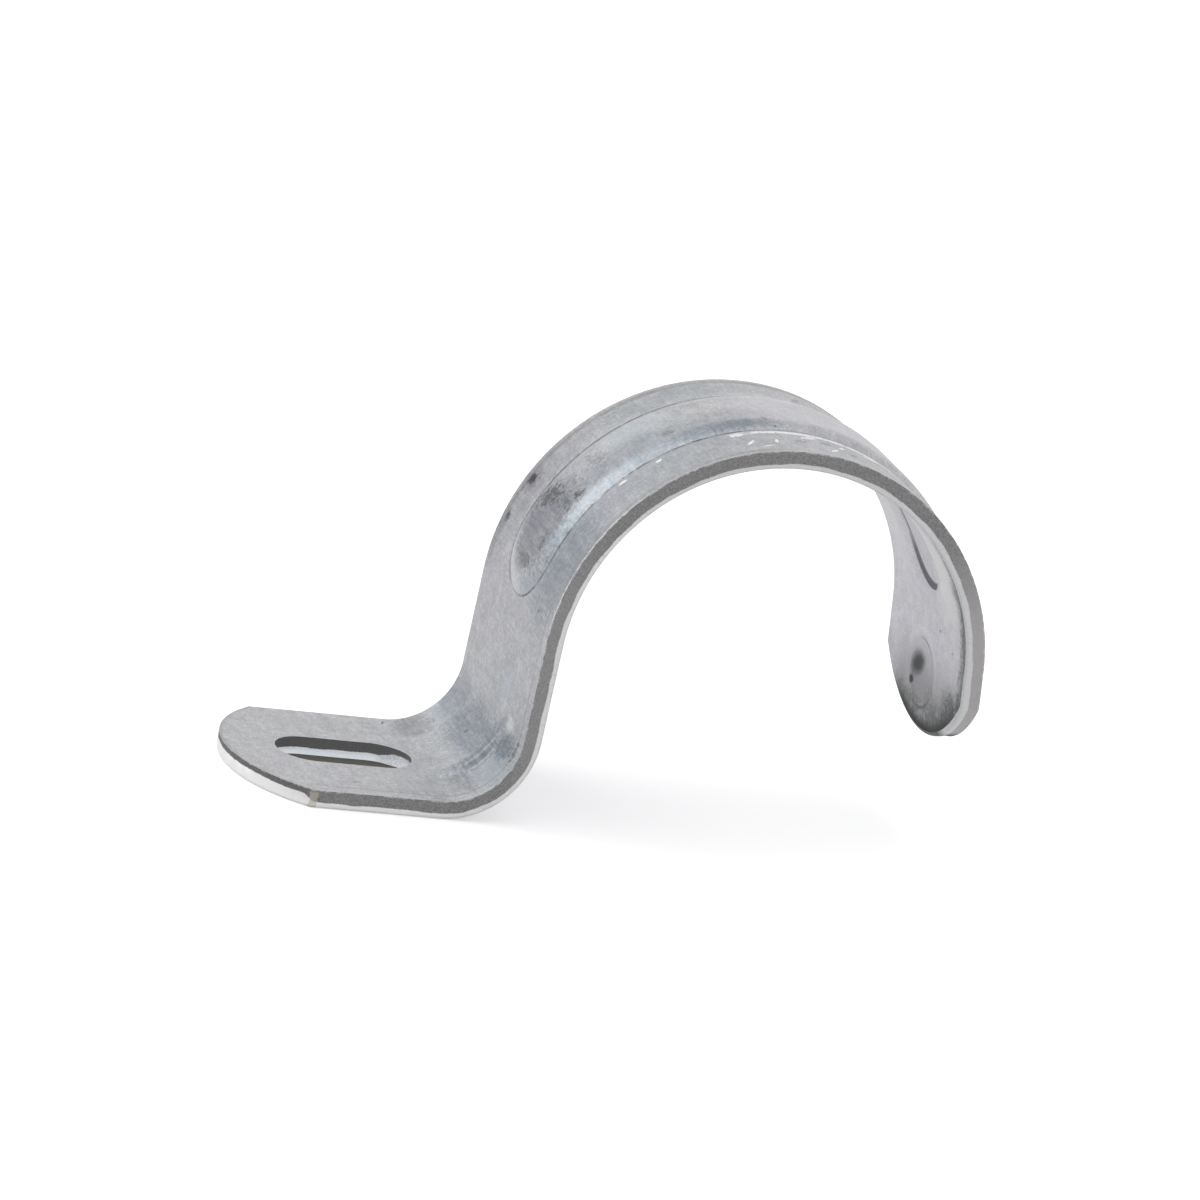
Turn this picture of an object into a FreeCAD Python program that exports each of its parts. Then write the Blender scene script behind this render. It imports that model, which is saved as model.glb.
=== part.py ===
import FreeCAD, Part
import math
import os
import Sketcher

# One-hole conduit strap: one strip of galvanised sheet steel, blanked, pressed and bent.
# Millimetres and degrees. The origin is the centre of the screw slot on the underside of the foot,
# which is the surface the strap is screwed to. +X runs from the foot to the conduit, Y along the
# conduit, +Z up from the surface. Angles about the conduit are measured in the XZ plane, from +X.

SIZES = {
    "conduit_radius": (16.7, "inside radius of the arch, half of a 33.4 mm rigid conduit"),
    "sheet": (1.5, "thickness of the sheet"),
    "strip_width": (19.0, "width of the strip between its two sheared edges"),
    "side_shift": (0.3, "how far the two side cuts lie towards -Y of the pressed features"),
    "foot_reach": (9.9, "slot centre to the tip of the foot"),
    "slot_to_bend": (5.6, "slot centre to the start of the bend"),
    "slot_length": (11.1, "screw slot, overall length"),
    "slot_width": (5.6, "screw slot, width"),
    "end_flatness": (2.5, "how much the radius of the rounded ends exceeds half the strip's width"),
    "bend_radius": (5.7, "bend from foot to riser, radius on the upper, hollow side"),
    "bend_angle": (88.7, "angle that the bend turns through"),
    "gusset_radius": (6.8, "the same bend where the gusset fills its corner"),
    "gusset_width": (9.0, "width of the gusset across the bend"),
    "riser_straight": (7.96, "straight length between the bend and the arch"),
    "leg_lean": (5.4, "lean of the leg away from the conduit"),
    "leg_reach": (8.1, "end of the arch to the tip of the leg"),
    "rib_width": (8.7, "rib on the arch, crease to crease on the outside"),
    "rib_height": (0.5, "how far the rib stands out, and how deep it is hollow inside"),
    "rib_flank": (1.75, "width of each sloping flank of the rib"),
    "rib_floor": (6.0, "width of the flat floor of the hollow"),
    "rib_from": (161.9, "angle of the centre of the rib's round end above the riser"),
    "rib_to": (28.7, "angle of the centre of the rib's round end above the leg"),
    "dimple_reach": (3.5, "end of the arch to the centre of the dimple"),
    "dimple_radius": (2.8, "dimple, radius of its opening on the inside of the leg"),
    "dimple_depth": (0.5, "dimple, depth"),
    "edge_round": (0.35, "rolled-over edge that the shears leave on the underside and inside"),
}

# Worked out from the sizes above, by formulas in the same sheet.
DERIVED = {
    "front_edge": ("strip_width / 2 + side_shift", "middle of the pressed features to the front cut"),
    "back_edge": ("strip_width / 2 - side_shift", "middle of the pressed features to the back cut"),
    "end_radius": ("strip_width / 2 + end_flatness", "radius of the rounded ends, foot and leg"),
    "bend_outer": ("bend_radius + sheet", "bend, radius on the underside"),
    "arch_outer": ("conduit_radius + sheet", "arch, radius on the outside"),
    "arch_x": ("slot_to_bend + (bend_outer + conduit_radius) * sin(bend_angle * 1 deg)"
               " + riser_straight * cos(bend_angle * 1 deg)", "axis of the conduit, along X"),
    "arch_z": ("bend_outer - (bend_outer + conduit_radius) * cos(bend_angle * 1 deg)"
               " + riser_straight * sin(bend_angle * 1 deg)", "axis of the conduit, above the surface"),
    "gusset_early": ("(gusset_radius - bend_radius) * tan(bend_angle * 0.5 deg)",
                     "how much earlier the gusset's bend starts, and how much later it ends"),
    "rib_slope": ("rib_flank / rib_height", "run of the rib's flank for each millimetre of height"),
    "ball_radius": ("(dimple_radius ^ 2 + dimple_depth ^ 2) / (2 * dimple_depth)",
                    "radius of the ball that presses the dimple"),
    "spare": ("2 * sheet", "how far a cutting outline reaches past the strip"),
    "skin": ("0.1 * sheet", "how deep a pressed shape starts below the sheet's surface"),
}

# Points on an edge, as shares of its length, and how far off a shape they may lie in mm.
ALONG_EDGE = (0.02, 0.3, 0.5, 0.8, 0.98)
ON_SHAPE = 0.001

# Names for the numbers that a sketch gives to the ends and centre of an element, and to its axes.
START, END, CENTRE = range(1, 4)
X_AXIS, Y_AXIS = range(-1, -3, -1)
ORIGIN = (X_AXIS, START)
UPRIGHT = FreeCAD.Vector(0, 0, 1)

doc = FreeCAD.newDocument("conduit_strap")
sheet = doc.addObject("Spreadsheet::Sheet", "Sizes")


def fill_sheet():
    rows = [(alias, str(value), meaning) for alias, (value, meaning) in SIZES.items()]
    rows += [(alias, "=" + formula, meaning) for alias, (formula, meaning) in DERIVED.items()]
    for row, (alias, content, meaning) in enumerate(rows, start=1):
        sheet.set("A%d" % row, alias)
        sheet.setAlias("B%d" % row, alias)
        sheet.set("B%d" % row, content)
        sheet.set("C%d" % row, meaning)
    doc.recompute()


def number(expression):
    """The present value of an expression on the sheet, as a plain number."""
    value = sheet.evalExpression(expression)
    return float(value.Value if hasattr(value, "Value") else value)


def point(x, y):
    return FreeCAD.Vector(x, y, 0)


def new_body(label):
    body = doc.addObject("PartDesign::Body", label)
    body.Label = label
    return body


def new_sketch(body, name, role, base=("0", "0", "0"), axis=(0, 0, 1), angle="0"):
    """A sketch on one of the body's own origin planes, moved and turned by expressions."""
    sketch = body.newObject("Sketcher::SketchObject", name)
    plane = [item for item in body.Origin.OriginFeatures if item.Role == role][0]
    sketch.AttachmentSupport = [(plane, "")]
    sketch.MapMode = "FlatFace"
    turned = FreeCAD.Rotation(FreeCAD.Vector(*axis), number(angle))
    sketch.AttachmentOffset = FreeCAD.Placement(FreeCAD.Vector(*[number(item) for item in base]), turned)
    for letter, item in zip("xyz", base):
        if item != "0":
            sketch.setExpression("AttachmentOffset.Base." + letter, item)
    if angle != "0":
        sketch.setExpression("AttachmentOffset.Rotation.Angle", "%s * 1 deg" % angle)
    return sketch


def drive(sketch, name, kind, *elements, size):
    """A dimension of the sketch that follows an expression on the sheet."""
    value = number(size)
    if kind == "Angle":
        value = math.radians(value)
        size = "%s * 1 deg" % size
    index = sketch.addConstraint(Sketcher.Constraint(kind, *elements, value))
    sketch.renameConstraint(index, name)
    sketch.setExpression("Constraints." + name, size)


def relate(sketch, kind, *elements):
    sketch.addConstraint(Sketcher.Constraint(kind, *elements))


def add_line(sketch, first, second):
    return sketch.addGeometry(Part.LineSegment(point(*first), point(*second)), False)


def add_arc(sketch, centre, radius, start, end):
    circle = Part.Circle(point(*centre), UPRIGHT, radius)
    return sketch.addGeometry(Part.ArcOfCircle(circle, start, end), False)


def rectangle(sketch, left, right, low, high):
    """A rectangle along the sketch's axes, each side driven by an expression."""
    x0, x1, y0, y1 = (number(item) for item in (left, right, low, high))
    bottom = add_line(sketch, (x0, y0), (x1, y0))
    right_side = add_line(sketch, (x1, y0), (x1, y1))
    top = add_line(sketch, (x1, y1), (x0, y1))
    left_side = add_line(sketch, (x0, y1), (x0, y0))
    sides = [bottom, right_side, top, left_side]
    for first, second in zip(sides, sides[1:] + sides[:1]):
        relate(sketch, "Coincident", first, END, second, START)
    for line in (bottom, top):
        relate(sketch, "Horizontal", line)
    for line in (right_side, left_side):
        relate(sketch, "Vertical", line)
    drive(sketch, "left", "DistanceX", *ORIGIN, bottom, START, size=left)
    drive(sketch, "right", "DistanceX", *ORIGIN, bottom, END, size=right)
    drive(sketch, "low", "DistanceY", *ORIGIN, bottom, START, size=low)
    drive(sketch, "high", "DistanceY", *ORIGIN, top, START, size=high)


def bent_section(body, name, early, front):
    """The bent strip seen along the conduit. The sketch lies at Y = -front.

    Its bend starts early by the given length on the foot and ends as much later on the riser, with
    a larger radius to suit, so that the foot, riser, arch and leg stay where they are.
    """
    bend_start = "(Sizes.slot_to_bend - %s)" % early
    radius = "(Sizes.bend_radius + %s / tan(Sizes.bend_angle * 0.5 deg))" % early
    riser = "(Sizes.riser_straight - %s)" % early
    sketch = new_sketch(body, name, "XZ_Plane", base=("0", "0", front))
    thick = number("Sizes.sheet")
    hollow = number(radius)
    turn = math.radians(number("Sizes.bend_angle"))
    lean = math.radians(number("Sizes.leg_lean"))
    inside = number("Sizes.conduit_radius")
    leg = number("Sizes.leg_reach")
    tip_x = -number("Sizes.foot_reach")
    bend_centre = (number(bend_start), thick + hollow)
    arch_centre = (number("Sizes.arch_x"), number("Sizes.arch_z"))
    riser_angle = math.pi / 2 + turn

    def on_bend(radial):
        return (bend_centre[0] + radial * math.sin(turn), bend_centre[1] - radial * math.cos(turn))

    def on_arch(radial, angle):
        return (arch_centre[0] + radial * math.cos(angle), arch_centre[1] + radial * math.sin(angle))

    def on_leg(radial, reach):
        x, z = on_arch(radial, lean)
        return (x + reach * math.sin(lean), z - reach * math.cos(lean))

    foot_under = add_line(sketch, (tip_x, 0), (bend_centre[0], 0))
    bend_under = add_arc(sketch, bend_centre, hollow + thick, -math.pi / 2, turn - math.pi / 2)
    riser_inner = add_line(sketch, on_bend(hollow + thick), on_arch(inside, riser_angle))
    arch_inner = add_arc(sketch, arch_centre, inside, lean, riser_angle)
    leg_inner = add_line(sketch, on_leg(inside, leg), on_arch(inside, lean))
    leg_end = add_line(sketch, on_leg(inside, leg), on_leg(inside + thick, leg))
    leg_outer = add_line(sketch, on_leg(inside + thick, leg), on_arch(inside + thick, lean))
    arch_outer = add_arc(sketch, arch_centre, inside + thick, lean, riser_angle)
    riser_outer = add_line(sketch, on_bend(hollow), on_arch(inside + thick, riser_angle))
    bend_upper = add_arc(sketch, bend_centre, hollow, -math.pi / 2, turn - math.pi / 2)
    foot_upper = add_line(sketch, (tip_x, thick), (bend_centre[0], thick))
    foot_end = add_line(sketch, (tip_x, 0), (tip_x, thick))

    relate(sketch, "Tangent", foot_under, END, bend_under, START)
    relate(sketch, "Tangent", bend_under, END, riser_inner, START)
    relate(sketch, "Tangent", riser_inner, END, arch_inner, END)
    relate(sketch, "Tangent", arch_inner, START, leg_inner, END)
    relate(sketch, "Coincident", leg_inner, START, leg_end, START)
    relate(sketch, "Coincident", leg_end, END, leg_outer, START)
    relate(sketch, "Tangent", leg_outer, END, arch_outer, START)
    relate(sketch, "Tangent", arch_outer, END, riser_outer, END)
    relate(sketch, "Tangent", riser_outer, START, bend_upper, END)
    relate(sketch, "Tangent", bend_upper, START, foot_upper, END)
    relate(sketch, "Coincident", foot_upper, START, foot_end, END)
    relate(sketch, "Coincident", foot_end, START, foot_under, START)
    relate(sketch, "Coincident", bend_under, CENTRE, bend_upper, CENTRE)
    relate(sketch, "Coincident", arch_inner, CENTRE, arch_outer, CENTRE)
    relate(sketch, "Horizontal", foot_under)
    relate(sketch, "Horizontal", foot_upper)
    relate(sketch, "Vertical", foot_end)
    relate(sketch, "Parallel", riser_inner, riser_outer)
    relate(sketch, "Parallel", leg_inner, leg_outer)
    relate(sketch, "Perpendicular", leg_inner, leg_end)
    relate(sketch, "PointOnObject", foot_under, START, X_AXIS)
    drive(sketch, "foot", "DistanceX", foot_under, START, *ORIGIN, size="Sizes.foot_reach")
    drive(sketch, "bend_start", "DistanceX", *ORIGIN, foot_under, END, size=bend_start)
    drive(sketch, "thickness", "DistanceY", foot_end, START, foot_end, END, size="Sizes.sheet")
    drive(sketch, "bend", "Radius", bend_upper, size=radius)
    drive(sketch, "turn", "Angle", riser_inner, size="Sizes.bend_angle")
    drive(sketch, "riser", "Distance", riser_inner, size=riser)
    drive(sketch, "conduit", "Radius", arch_inner, size="Sizes.conduit_radius")
    drive(sketch, "lean", "Angle", leg_inner, size="(90 + Sizes.leg_lean)")
    drive(sketch, "leg", "Distance", leg_inner, size="Sizes.leg_reach")
    return sketch


def add_pad(body, name, sketch, length):
    """A pad on the side that the sketch faces, away from its normal.

    The strip's faces stay in three widths, so that each margin of the arch is a round wall of its
    own, and the conduit's seat can be measured beside the rib's hollow.
    """
    pad = body.newObject("PartDesign::Pad", name)
    pad.Profile = sketch
    pad.Length = number(length)
    pad.setExpression("Length", length)
    pad.Reversed = True
    pad.Refine = False
    doc.recompute()
    return pad


def add_cut(body, name, sketch, both_ways):
    """A cut through everything, along the sketch's normal or both ways from it."""
    before = body.Shape.Volume
    pocket = body.newObject("PartDesign::Pocket", name)
    pocket.Profile = sketch
    pocket.Type = "ThroughAll"
    pocket.Midplane = both_ways
    pocket.Reversed = not both_ways
    pocket.Refine = False
    doc.recompute()
    if not body.Shape.Volume < before:
        raise RuntimeError("%s cuts nothing" % name)


def bend_strip(body):
    """The strip at full width, as three lengths side by side: two margins, and the gusset's width."""
    half_gusset = "(Sizes.gusset_width / 2)"
    lengths = [
        ("front_margin", "0", "Sizes.front_edge", "(Sizes.front_edge - %s)" % half_gusset),
        ("gusset_strip", "Sizes.gusset_early", half_gusset, "Sizes.gusset_width"),
        ("back_margin", "0", "(-%s)" % half_gusset, "(Sizes.back_edge - %s)" % half_gusset),
    ]
    for name, early, front, width in lengths:
        section = bent_section(body, name + "_section", early, front)
        add_pad(body, name, section, width)


def rounded_end(body, name, role, reach, **place):
    """An outline of all that lies outside the end arc, whose tip points along the sketch's -Y."""
    sketch = new_sketch(body, name + "_outline", role, **place)
    radius = number("Sizes.end_radius")
    middle = radius - number(reach)
    wide = radius + number("Sizes.spare")
    below = -number(reach) - number("Sizes.spare")
    arc = add_arc(sketch, (0, middle), radius, math.pi, 2 * math.pi)
    left_shoulder = add_line(sketch, (-radius, middle), (-wide, middle))
    left = add_line(sketch, (-wide, middle), (-wide, below))
    bottom = add_line(sketch, (-wide, below), (wide, below))
    right = add_line(sketch, (wide, below), (wide, middle))
    right_shoulder = add_line(sketch, (wide, middle), (radius, middle))
    outline = [left_shoulder, left, bottom, right, right_shoulder]
    relate(sketch, "Coincident", arc, START, left_shoulder, START)
    for first, second in zip(outline, outline[1:]):
        relate(sketch, "Coincident", first, END, second, START)
    relate(sketch, "Coincident", right_shoulder, END, arc, END)
    for line in (left_shoulder, bottom, right_shoulder):
        relate(sketch, "Horizontal", line)
    for line in (left, right):
        relate(sketch, "Vertical", line)
    relate(sketch, "PointOnObject", arc, CENTRE, Y_AXIS)
    relate(sketch, "Symmetric", arc, START, arc, END, arc, CENTRE)
    drive(sketch, "radius", "Radius", arc, size="Sizes.end_radius")
    drive(sketch, "reach", "DistanceY", *ORIGIN, arc, CENTRE, size="(Sizes.end_radius - %s)" % reach)
    drive(sketch, "wide_left", "DistanceX", left_shoulder, END, left_shoulder, START,
          size="Sizes.spare")
    drive(sketch, "wide_right", "DistanceX", right_shoulder, END, right_shoulder, START,
          size="Sizes.spare")
    drive(sketch, "below", "DistanceY", bottom, START, *ORIGIN, size="(%s + Sizes.spare)" % reach)
    return sketch


def round_ends(body):
    foot = rounded_end(body, "foot_end", "XY_Plane", "Sizes.foot_reach", angle="-90")
    add_cut(body, "foot_end", foot, both_ways=True)
    # The leg's outline lies in a plane through the conduit's axis, parallel to the leg.
    leg = rounded_end(body, "leg_end", "YZ_Plane", "Sizes.leg_reach",
                      base=("0", "Sizes.arch_z", "Sizes.arch_x"), axis=(1, 0, 0),
                      angle="(-Sizes.leg_lean)")
    add_cut(body, "leg_end", leg, both_ways=False)


def screw_slot(body):
    sketch = new_sketch(body, "slot_outline", "XY_Plane")
    half = number("Sizes.slot_width") / 2
    run = number("Sizes.slot_length") / 2 - half
    right = add_arc(sketch, (run, 0), half, -math.pi / 2, math.pi / 2)
    top = add_line(sketch, (run, half), (-run, half))
    left = add_arc(sketch, (-run, 0), half, math.pi / 2, 3 * math.pi / 2)
    bottom = add_line(sketch, (-run, -half), (run, -half))
    relate(sketch, "Tangent", right, END, top, START)
    relate(sketch, "Tangent", top, END, left, START)
    relate(sketch, "Tangent", left, END, bottom, START)
    relate(sketch, "Tangent", bottom, END, right, START)
    relate(sketch, "Horizontal", top)
    relate(sketch, "Symmetric", left, CENTRE, right, CENTRE, *ORIGIN)
    relate(sketch, "PointOnObject", right, CENTRE, X_AXIS)
    drive(sketch, "end_radius", "Radius", right, size="(Sizes.slot_width / 2)")
    drive(sketch, "run", "DistanceX", left, CENTRE, right, CENTRE,
          size="(Sizes.slot_length - Sizes.slot_width)")
    add_cut(body, "screw_slot", sketch, both_ways=True)


def depth_in_sheet(spot):
    """Distance from the underside or inside, in the stretch of the strip that the spot belongs to."""
    turn = math.radians(number("Sizes.bend_angle"))
    lean = math.radians(number("Sizes.leg_lean"))
    outer = number("Sizes.bend_outer")
    inside = number("Sizes.conduit_radius")
    from_bend = (spot.x - number("Sizes.slot_to_bend"), spot.z - outer)
    from_arch = (spot.x - number("Sizes.arch_x"), spot.z - number("Sizes.arch_z"))
    if lean <= math.atan2(from_arch[1], from_arch[0]) <= math.pi / 2 + turn:
        return math.hypot(*from_arch) - inside
    if from_arch[0] > 0:
        return from_arch[0] * math.cos(lean) + from_arch[1] * math.sin(lean) - inside
    if from_bend[0] < 0:
        return spot.z
    if from_bend[0] * math.cos(turn) + from_bend[1] * math.sin(turn) < 0:
        return outer - math.hypot(*from_bend)
    return outer - from_bend[0] * math.sin(turn) + from_bend[1] * math.cos(turn)


def spots_on(edge):
    first, last = edge.FirstParameter, edge.LastParameter
    return [edge.valueAt(first + (last - first) * share) for share in ALONG_EDGE]


def sheared_rim(shape):
    """The names of the edges where the sheared faces meet the underside and inside of the strip."""
    lean = math.radians(number("Sizes.leg_lean"))
    inside = number("Sizes.conduit_radius")
    radius = number("Sizes.end_radius")
    down = number("Sizes.leg_reach") - radius
    foot_centre = FreeCAD.Vector(radius - number("Sizes.foot_reach"), 0, 0)
    leg_centre = FreeCAD.Vector(number("Sizes.arch_x") + inside * math.cos(lean) + down * math.sin(lean),
                                0,
                                number("Sizes.arch_z") + inside * math.sin(lean) - down * math.cos(lean))
    sides = (-number("Sizes.front_edge"), number("Sizes.back_edge"))

    def is_rim(edge):
        spots = spots_on(edge)
        if any(abs(depth_in_sheet(spot)) > ON_SHAPE for spot in spots):
            return False
        on_side = any(all(abs(spot.y - side) < ON_SHAPE for spot in spots) for side in sides)
        on_end = any(all(abs(spot.distanceToPoint(centre) - radius) < ON_SHAPE for spot in spots)
                     for centre in (foot_centre, leg_centre))
        return on_side or on_end

    return ["Edge%d" % count for count, edge in enumerate(shape.Edges, start=1) if is_rim(edge)]


def roll_rim(body):
    sharp = body.Tip
    fillet = body.newObject("PartDesign::Fillet", "rolled_rim")
    fillet.Base = (sharp, sheared_rim(sharp.Shape))
    fillet.Radius = number("Sizes.edge_round")
    fillet.setExpression("Radius", "Sizes.edge_round")
    fillet.Refine = False
    doc.recompute()


def build_blank():
    """The bent strip with its rounded ends, its slot and its rolled-over edges."""
    body = new_body("blank")
    bend_strip(body)
    round_ends(body)
    screw_slot(body)
    roll_rim(body)
    return body


def stadium_plug(label, face_radius, half_width, flank_depth, core_radius):
    """A plug with a stadium outline that stands out from the conduit's axis.

    Its face is part of a cylinder about that axis, from one round end of the rib to the other, and
    slopes down all round its edge, flank_depth deep. Inside core_radius the plug is hollow.
    """
    body = new_body(label)
    at_axis = ("Sizes.arch_x", "0", "Sizes.arch_z")
    beyond = "(%s + Sizes.spare)" % face_radius
    # The straight part: a rectangle in the radial plane of one round end, turned to the other.
    side = new_sketch(body, label + "_side", "XY_Plane", base=at_axis, axis=(0, 1, 0),
                      angle="(180 - Sizes.rib_from)")
    rectangle(side, "(-%s)" % beyond, "(-%s)" % core_radius, "(-%s)" % half_width, half_width)
    turned = body.newObject("PartDesign::Revolution", label + "_run")
    turned.Profile = side
    turned.ReferenceAxis = (side, ["V_Axis"])
    turned.Angle = number("Sizes.rib_from - Sizes.rib_to")
    turned.setExpression("Angle", "(Sizes.rib_from - Sizes.rib_to) * 1 deg")
    doc.recompute()
    # Each round end is a disc that faces away from the axis.
    for end in ("from", "to"):
        outline = new_sketch(body, "%s_%s" % (label, end), "XY_Plane", base=at_axis,
                             axis=(0, 1, 0), angle="(90 - Sizes.rib_%s)" % end)
        circle = Part.Circle(point(0, 0), UPRIGHT, number(half_width))
        disc = outline.addGeometry(circle, False)
        relate(outline, "Coincident", disc, CENTRE, *ORIGIN)
        drive(outline, "radius", "Radius", disc, size=half_width)
        add_pad(body, "%s_%s_end" % (label, end), outline, beyond).Reversed = False
    doc.recompute()
    # The face and the hollow are turned about the conduit's axis.
    trims = [("face", face_radius, "(%s + 2 * Sizes.spare)" % face_radius)]
    if core_radius != "0":
        trims.append(("core", "0", core_radius))
    for name, inner, outer in trims:
        ring = new_sketch(body, "%s_%s_ring" % (label, name), "YZ_Plane",
                          base=("0", "Sizes.arch_z", "Sizes.arch_x"))
        rectangle(ring, "(-2 * %s)" % half_width, "(2 * %s)" % half_width, inner, outer)
        groove = body.newObject("PartDesign::Groove", "%s_%s" % (label, name))
        groove.Profile = ring
        groove.ReferenceAxis = (ring, ["H_Axis"])
        groove.Angle = 360
        groove.Refine = True
        doc.recompute()
    square = body.Tip
    axis_x, axis_z, top = number("Sizes.arch_x"), number("Sizes.arch_z"), number(face_radius)
    rim = ["Edge%d" % count for count, edge in enumerate(square.Shape.Edges, start=1)
           if all(abs(math.hypot(spot.x - axis_x, spot.z - axis_z) - top) < ON_SHAPE
                  for spot in spots_on(edge))]
    flank = body.newObject("PartDesign::Chamfer", label + "_flank")
    flank.Base = (square, rim)
    flank.ChamferType = "Two distances"
    flank.setExpression("Size", flank_depth)
    flank.setExpression("Size2", "(%s * Sizes.rib_slope)" % flank_depth)
    doc.recompute()
    return body


def build_rib():
    """The rib that stands out on the arch, and the hollow behind it.

    Both start a skin's depth inside the sheet, and carry the slope of the flank on to there.
    """
    flank_depth = "(Sizes.rib_height + Sizes.skin)"
    outside = stadium_plug("rib", "(Sizes.arch_outer + Sizes.rib_height)",
                           "(Sizes.rib_width / 2 + Sizes.skin * Sizes.rib_slope)", flank_depth,
                           "(Sizes.conduit_radius + Sizes.sheet / 2)")
    hollow = stadium_plug("rib_hollow", "(Sizes.conduit_radius + Sizes.rib_height)",
                          "(Sizes.rib_floor / 2 + %s * Sizes.rib_slope)" % flank_depth, flank_depth,
                          "0")
    return outside, hollow


def cap_of_ball(label, radius, flat_at):
    """A cap of a ball on the dimple's axis, cut flat at a distance from the arch's axis."""
    body = new_body(label)
    across = "(Sizes.dimple_reach * sin(Sizes.leg_lean * 1 deg))"
    down = "(Sizes.dimple_reach * cos(Sizes.leg_lean * 1 deg))"
    sketch = new_sketch(body, label + "_section", "XZ_Plane",
                        base=("(Sizes.arch_x + %s)" % across, "(Sizes.arch_z - %s)" % down, "0"),
                        angle="Sizes.leg_lean")
    middle = "(Sizes.conduit_radius + Sizes.dimple_depth - Sizes.ball_radius)"
    centre, ball, flat = number(middle), number(radius), number(flat_at)
    spread = math.acos((flat - centre) / ball)
    arc = add_arc(sketch, (centre, 0), ball, 0, spread)
    face = add_line(sketch, (flat, ball * math.sin(spread)), (flat, 0))
    axis = add_line(sketch, (flat, 0), (centre + ball, 0))
    relate(sketch, "Coincident", arc, END, face, START)
    relate(sketch, "Coincident", face, END, axis, START)
    relate(sketch, "Coincident", axis, END, arc, START)
    relate(sketch, "Vertical", face)
    relate(sketch, "PointOnObject", axis, START, X_AXIS)
    relate(sketch, "PointOnObject", axis, END, X_AXIS)
    relate(sketch, "PointOnObject", arc, CENTRE, X_AXIS)
    drive(sketch, "radius", "Radius", arc, size=radius)
    drive(sketch, "centre", "DistanceX", *ORIGIN, arc, CENTRE, size=middle)
    drive(sketch, "flat", "DistanceX", *ORIGIN, axis, START, size=flat_at)
    cap = body.newObject("PartDesign::Revolution", label + "_cap")
    cap.Profile = sketch
    cap.ReferenceAxis = (sketch, ["H_Axis"])
    cap.Angle = 360
    doc.recompute()
    return body


def build_dimple():
    """The dimple's bulge and its hollow share one centre, so the sheet keeps its thickness there."""
    outside = cap_of_ball("dimple", "(Sizes.ball_radius + Sizes.sheet)",
                          "(Sizes.conduit_radius + Sizes.sheet / 2)")
    hollow = cap_of_ball("dimple_hollow", "Sizes.ball_radius", "(Sizes.conduit_radius - Sizes.skin)")
    return outside, hollow


def join(kind, name, **links):
    result = doc.addObject(kind, name)
    for key, value in links.items():
        setattr(result, key, value)
    result.Refine = False
    doc.recompute()
    return result


def build_strap():
    blank = build_blank()
    rib, rib_hollow = build_rib()
    dimple, dimple_hollow = build_dimple()
    pressed = join("Part::MultiFuse", "pressed", Shapes=[blank, rib, dimple])
    hollows = join("Part::MultiFuse", "hollows", Shapes=[rib_hollow, dimple_hollow])
    strap = join("Part::Cut", "strap", Base=pressed, Tool=hollows)
    strap.Label = "strap"
    return strap


def export(piece):
    if piece.Shape.isNull() or not piece.Shape.isValid() or len(piece.Shape.Solids) != 1:
        raise RuntimeError("bad shape: " + piece.Label)
    piece.Shape.exportStep("parts/%s.step" % piece.Label)
    print(piece.Label, "volume in mm3:", round(piece.Shape.Volume, 1))


fill_sheet()
strap = build_strap()
faults = [item.Name for item in doc.Objects if "Invalid" in item.State or "Error" in item.State]
if faults:
    raise RuntimeError("failed objects: " + ", ".join(faults))
os.makedirs("parts", exist_ok=True)
export(strap)
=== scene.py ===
import math

import bmesh
import bpy
from mathutils import Matrix, Vector


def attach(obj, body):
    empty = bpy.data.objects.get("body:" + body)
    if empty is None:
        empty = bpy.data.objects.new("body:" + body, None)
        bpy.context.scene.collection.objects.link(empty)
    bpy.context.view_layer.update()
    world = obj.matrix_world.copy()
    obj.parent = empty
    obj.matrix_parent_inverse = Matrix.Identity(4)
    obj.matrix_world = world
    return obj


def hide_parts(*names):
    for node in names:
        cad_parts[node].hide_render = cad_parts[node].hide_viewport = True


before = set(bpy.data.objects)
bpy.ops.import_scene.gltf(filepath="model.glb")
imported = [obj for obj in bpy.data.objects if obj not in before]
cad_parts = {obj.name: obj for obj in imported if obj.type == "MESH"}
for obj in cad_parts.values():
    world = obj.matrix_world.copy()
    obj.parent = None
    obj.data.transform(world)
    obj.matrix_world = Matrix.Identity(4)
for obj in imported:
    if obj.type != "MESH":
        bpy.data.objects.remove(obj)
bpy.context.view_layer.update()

# The strip is laid out flat first, in millimetres: run is the length along it from the slot's
# centre, measured on the outer side, across is Y, and rise goes from the conduit's side to the outer
# side. A node tree then presses the rib, gusset and dimple into it and bends it to shape.
METRE = 0.001
SHEET = 1.5
FRONT_EDGE, BACK_EDGE = -9.8, 9.2
TIP_RUN = -9.9
END_RADIUS = 12.0
SLOT_HALF_WIDTH = 2.8
SLOT_HALF_RUN = 2.75
BEND_START = 5.6
BEND_RADIUS, GUSSET_RADIUS = 5.7, 6.8
TURN = math.radians(88.7)
RISER = 7.96
CONDUIT_RADIUS = 16.7
LEG_LEAN = math.radians(5.4)
LEG_REACH = 8.1
ARCH_RADIUS = CONDUIT_RADIUS + SHEET
SWEEP = TURN + math.pi / 2 - LEG_LEAN
ARCH_START = BEND_START + BEND_RADIUS * TURN + RISER
LEG_START = ARCH_START + ARCH_RADIUS * SWEEP
LEG_TIP = LEG_START + LEG_REACH
RIB_START = ARCH_START + ARCH_RADIUS * (TURN + math.pi / 2 - math.radians(161.9))
RIB_END = ARCH_START + ARCH_RADIUS * (TURN + math.pi / 2 - math.radians(28.7))
RIB_HALF = 4.35
HOLLOW_HALF = 3.0
DIMPLE_RUN = LEG_START + 3.5

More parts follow.
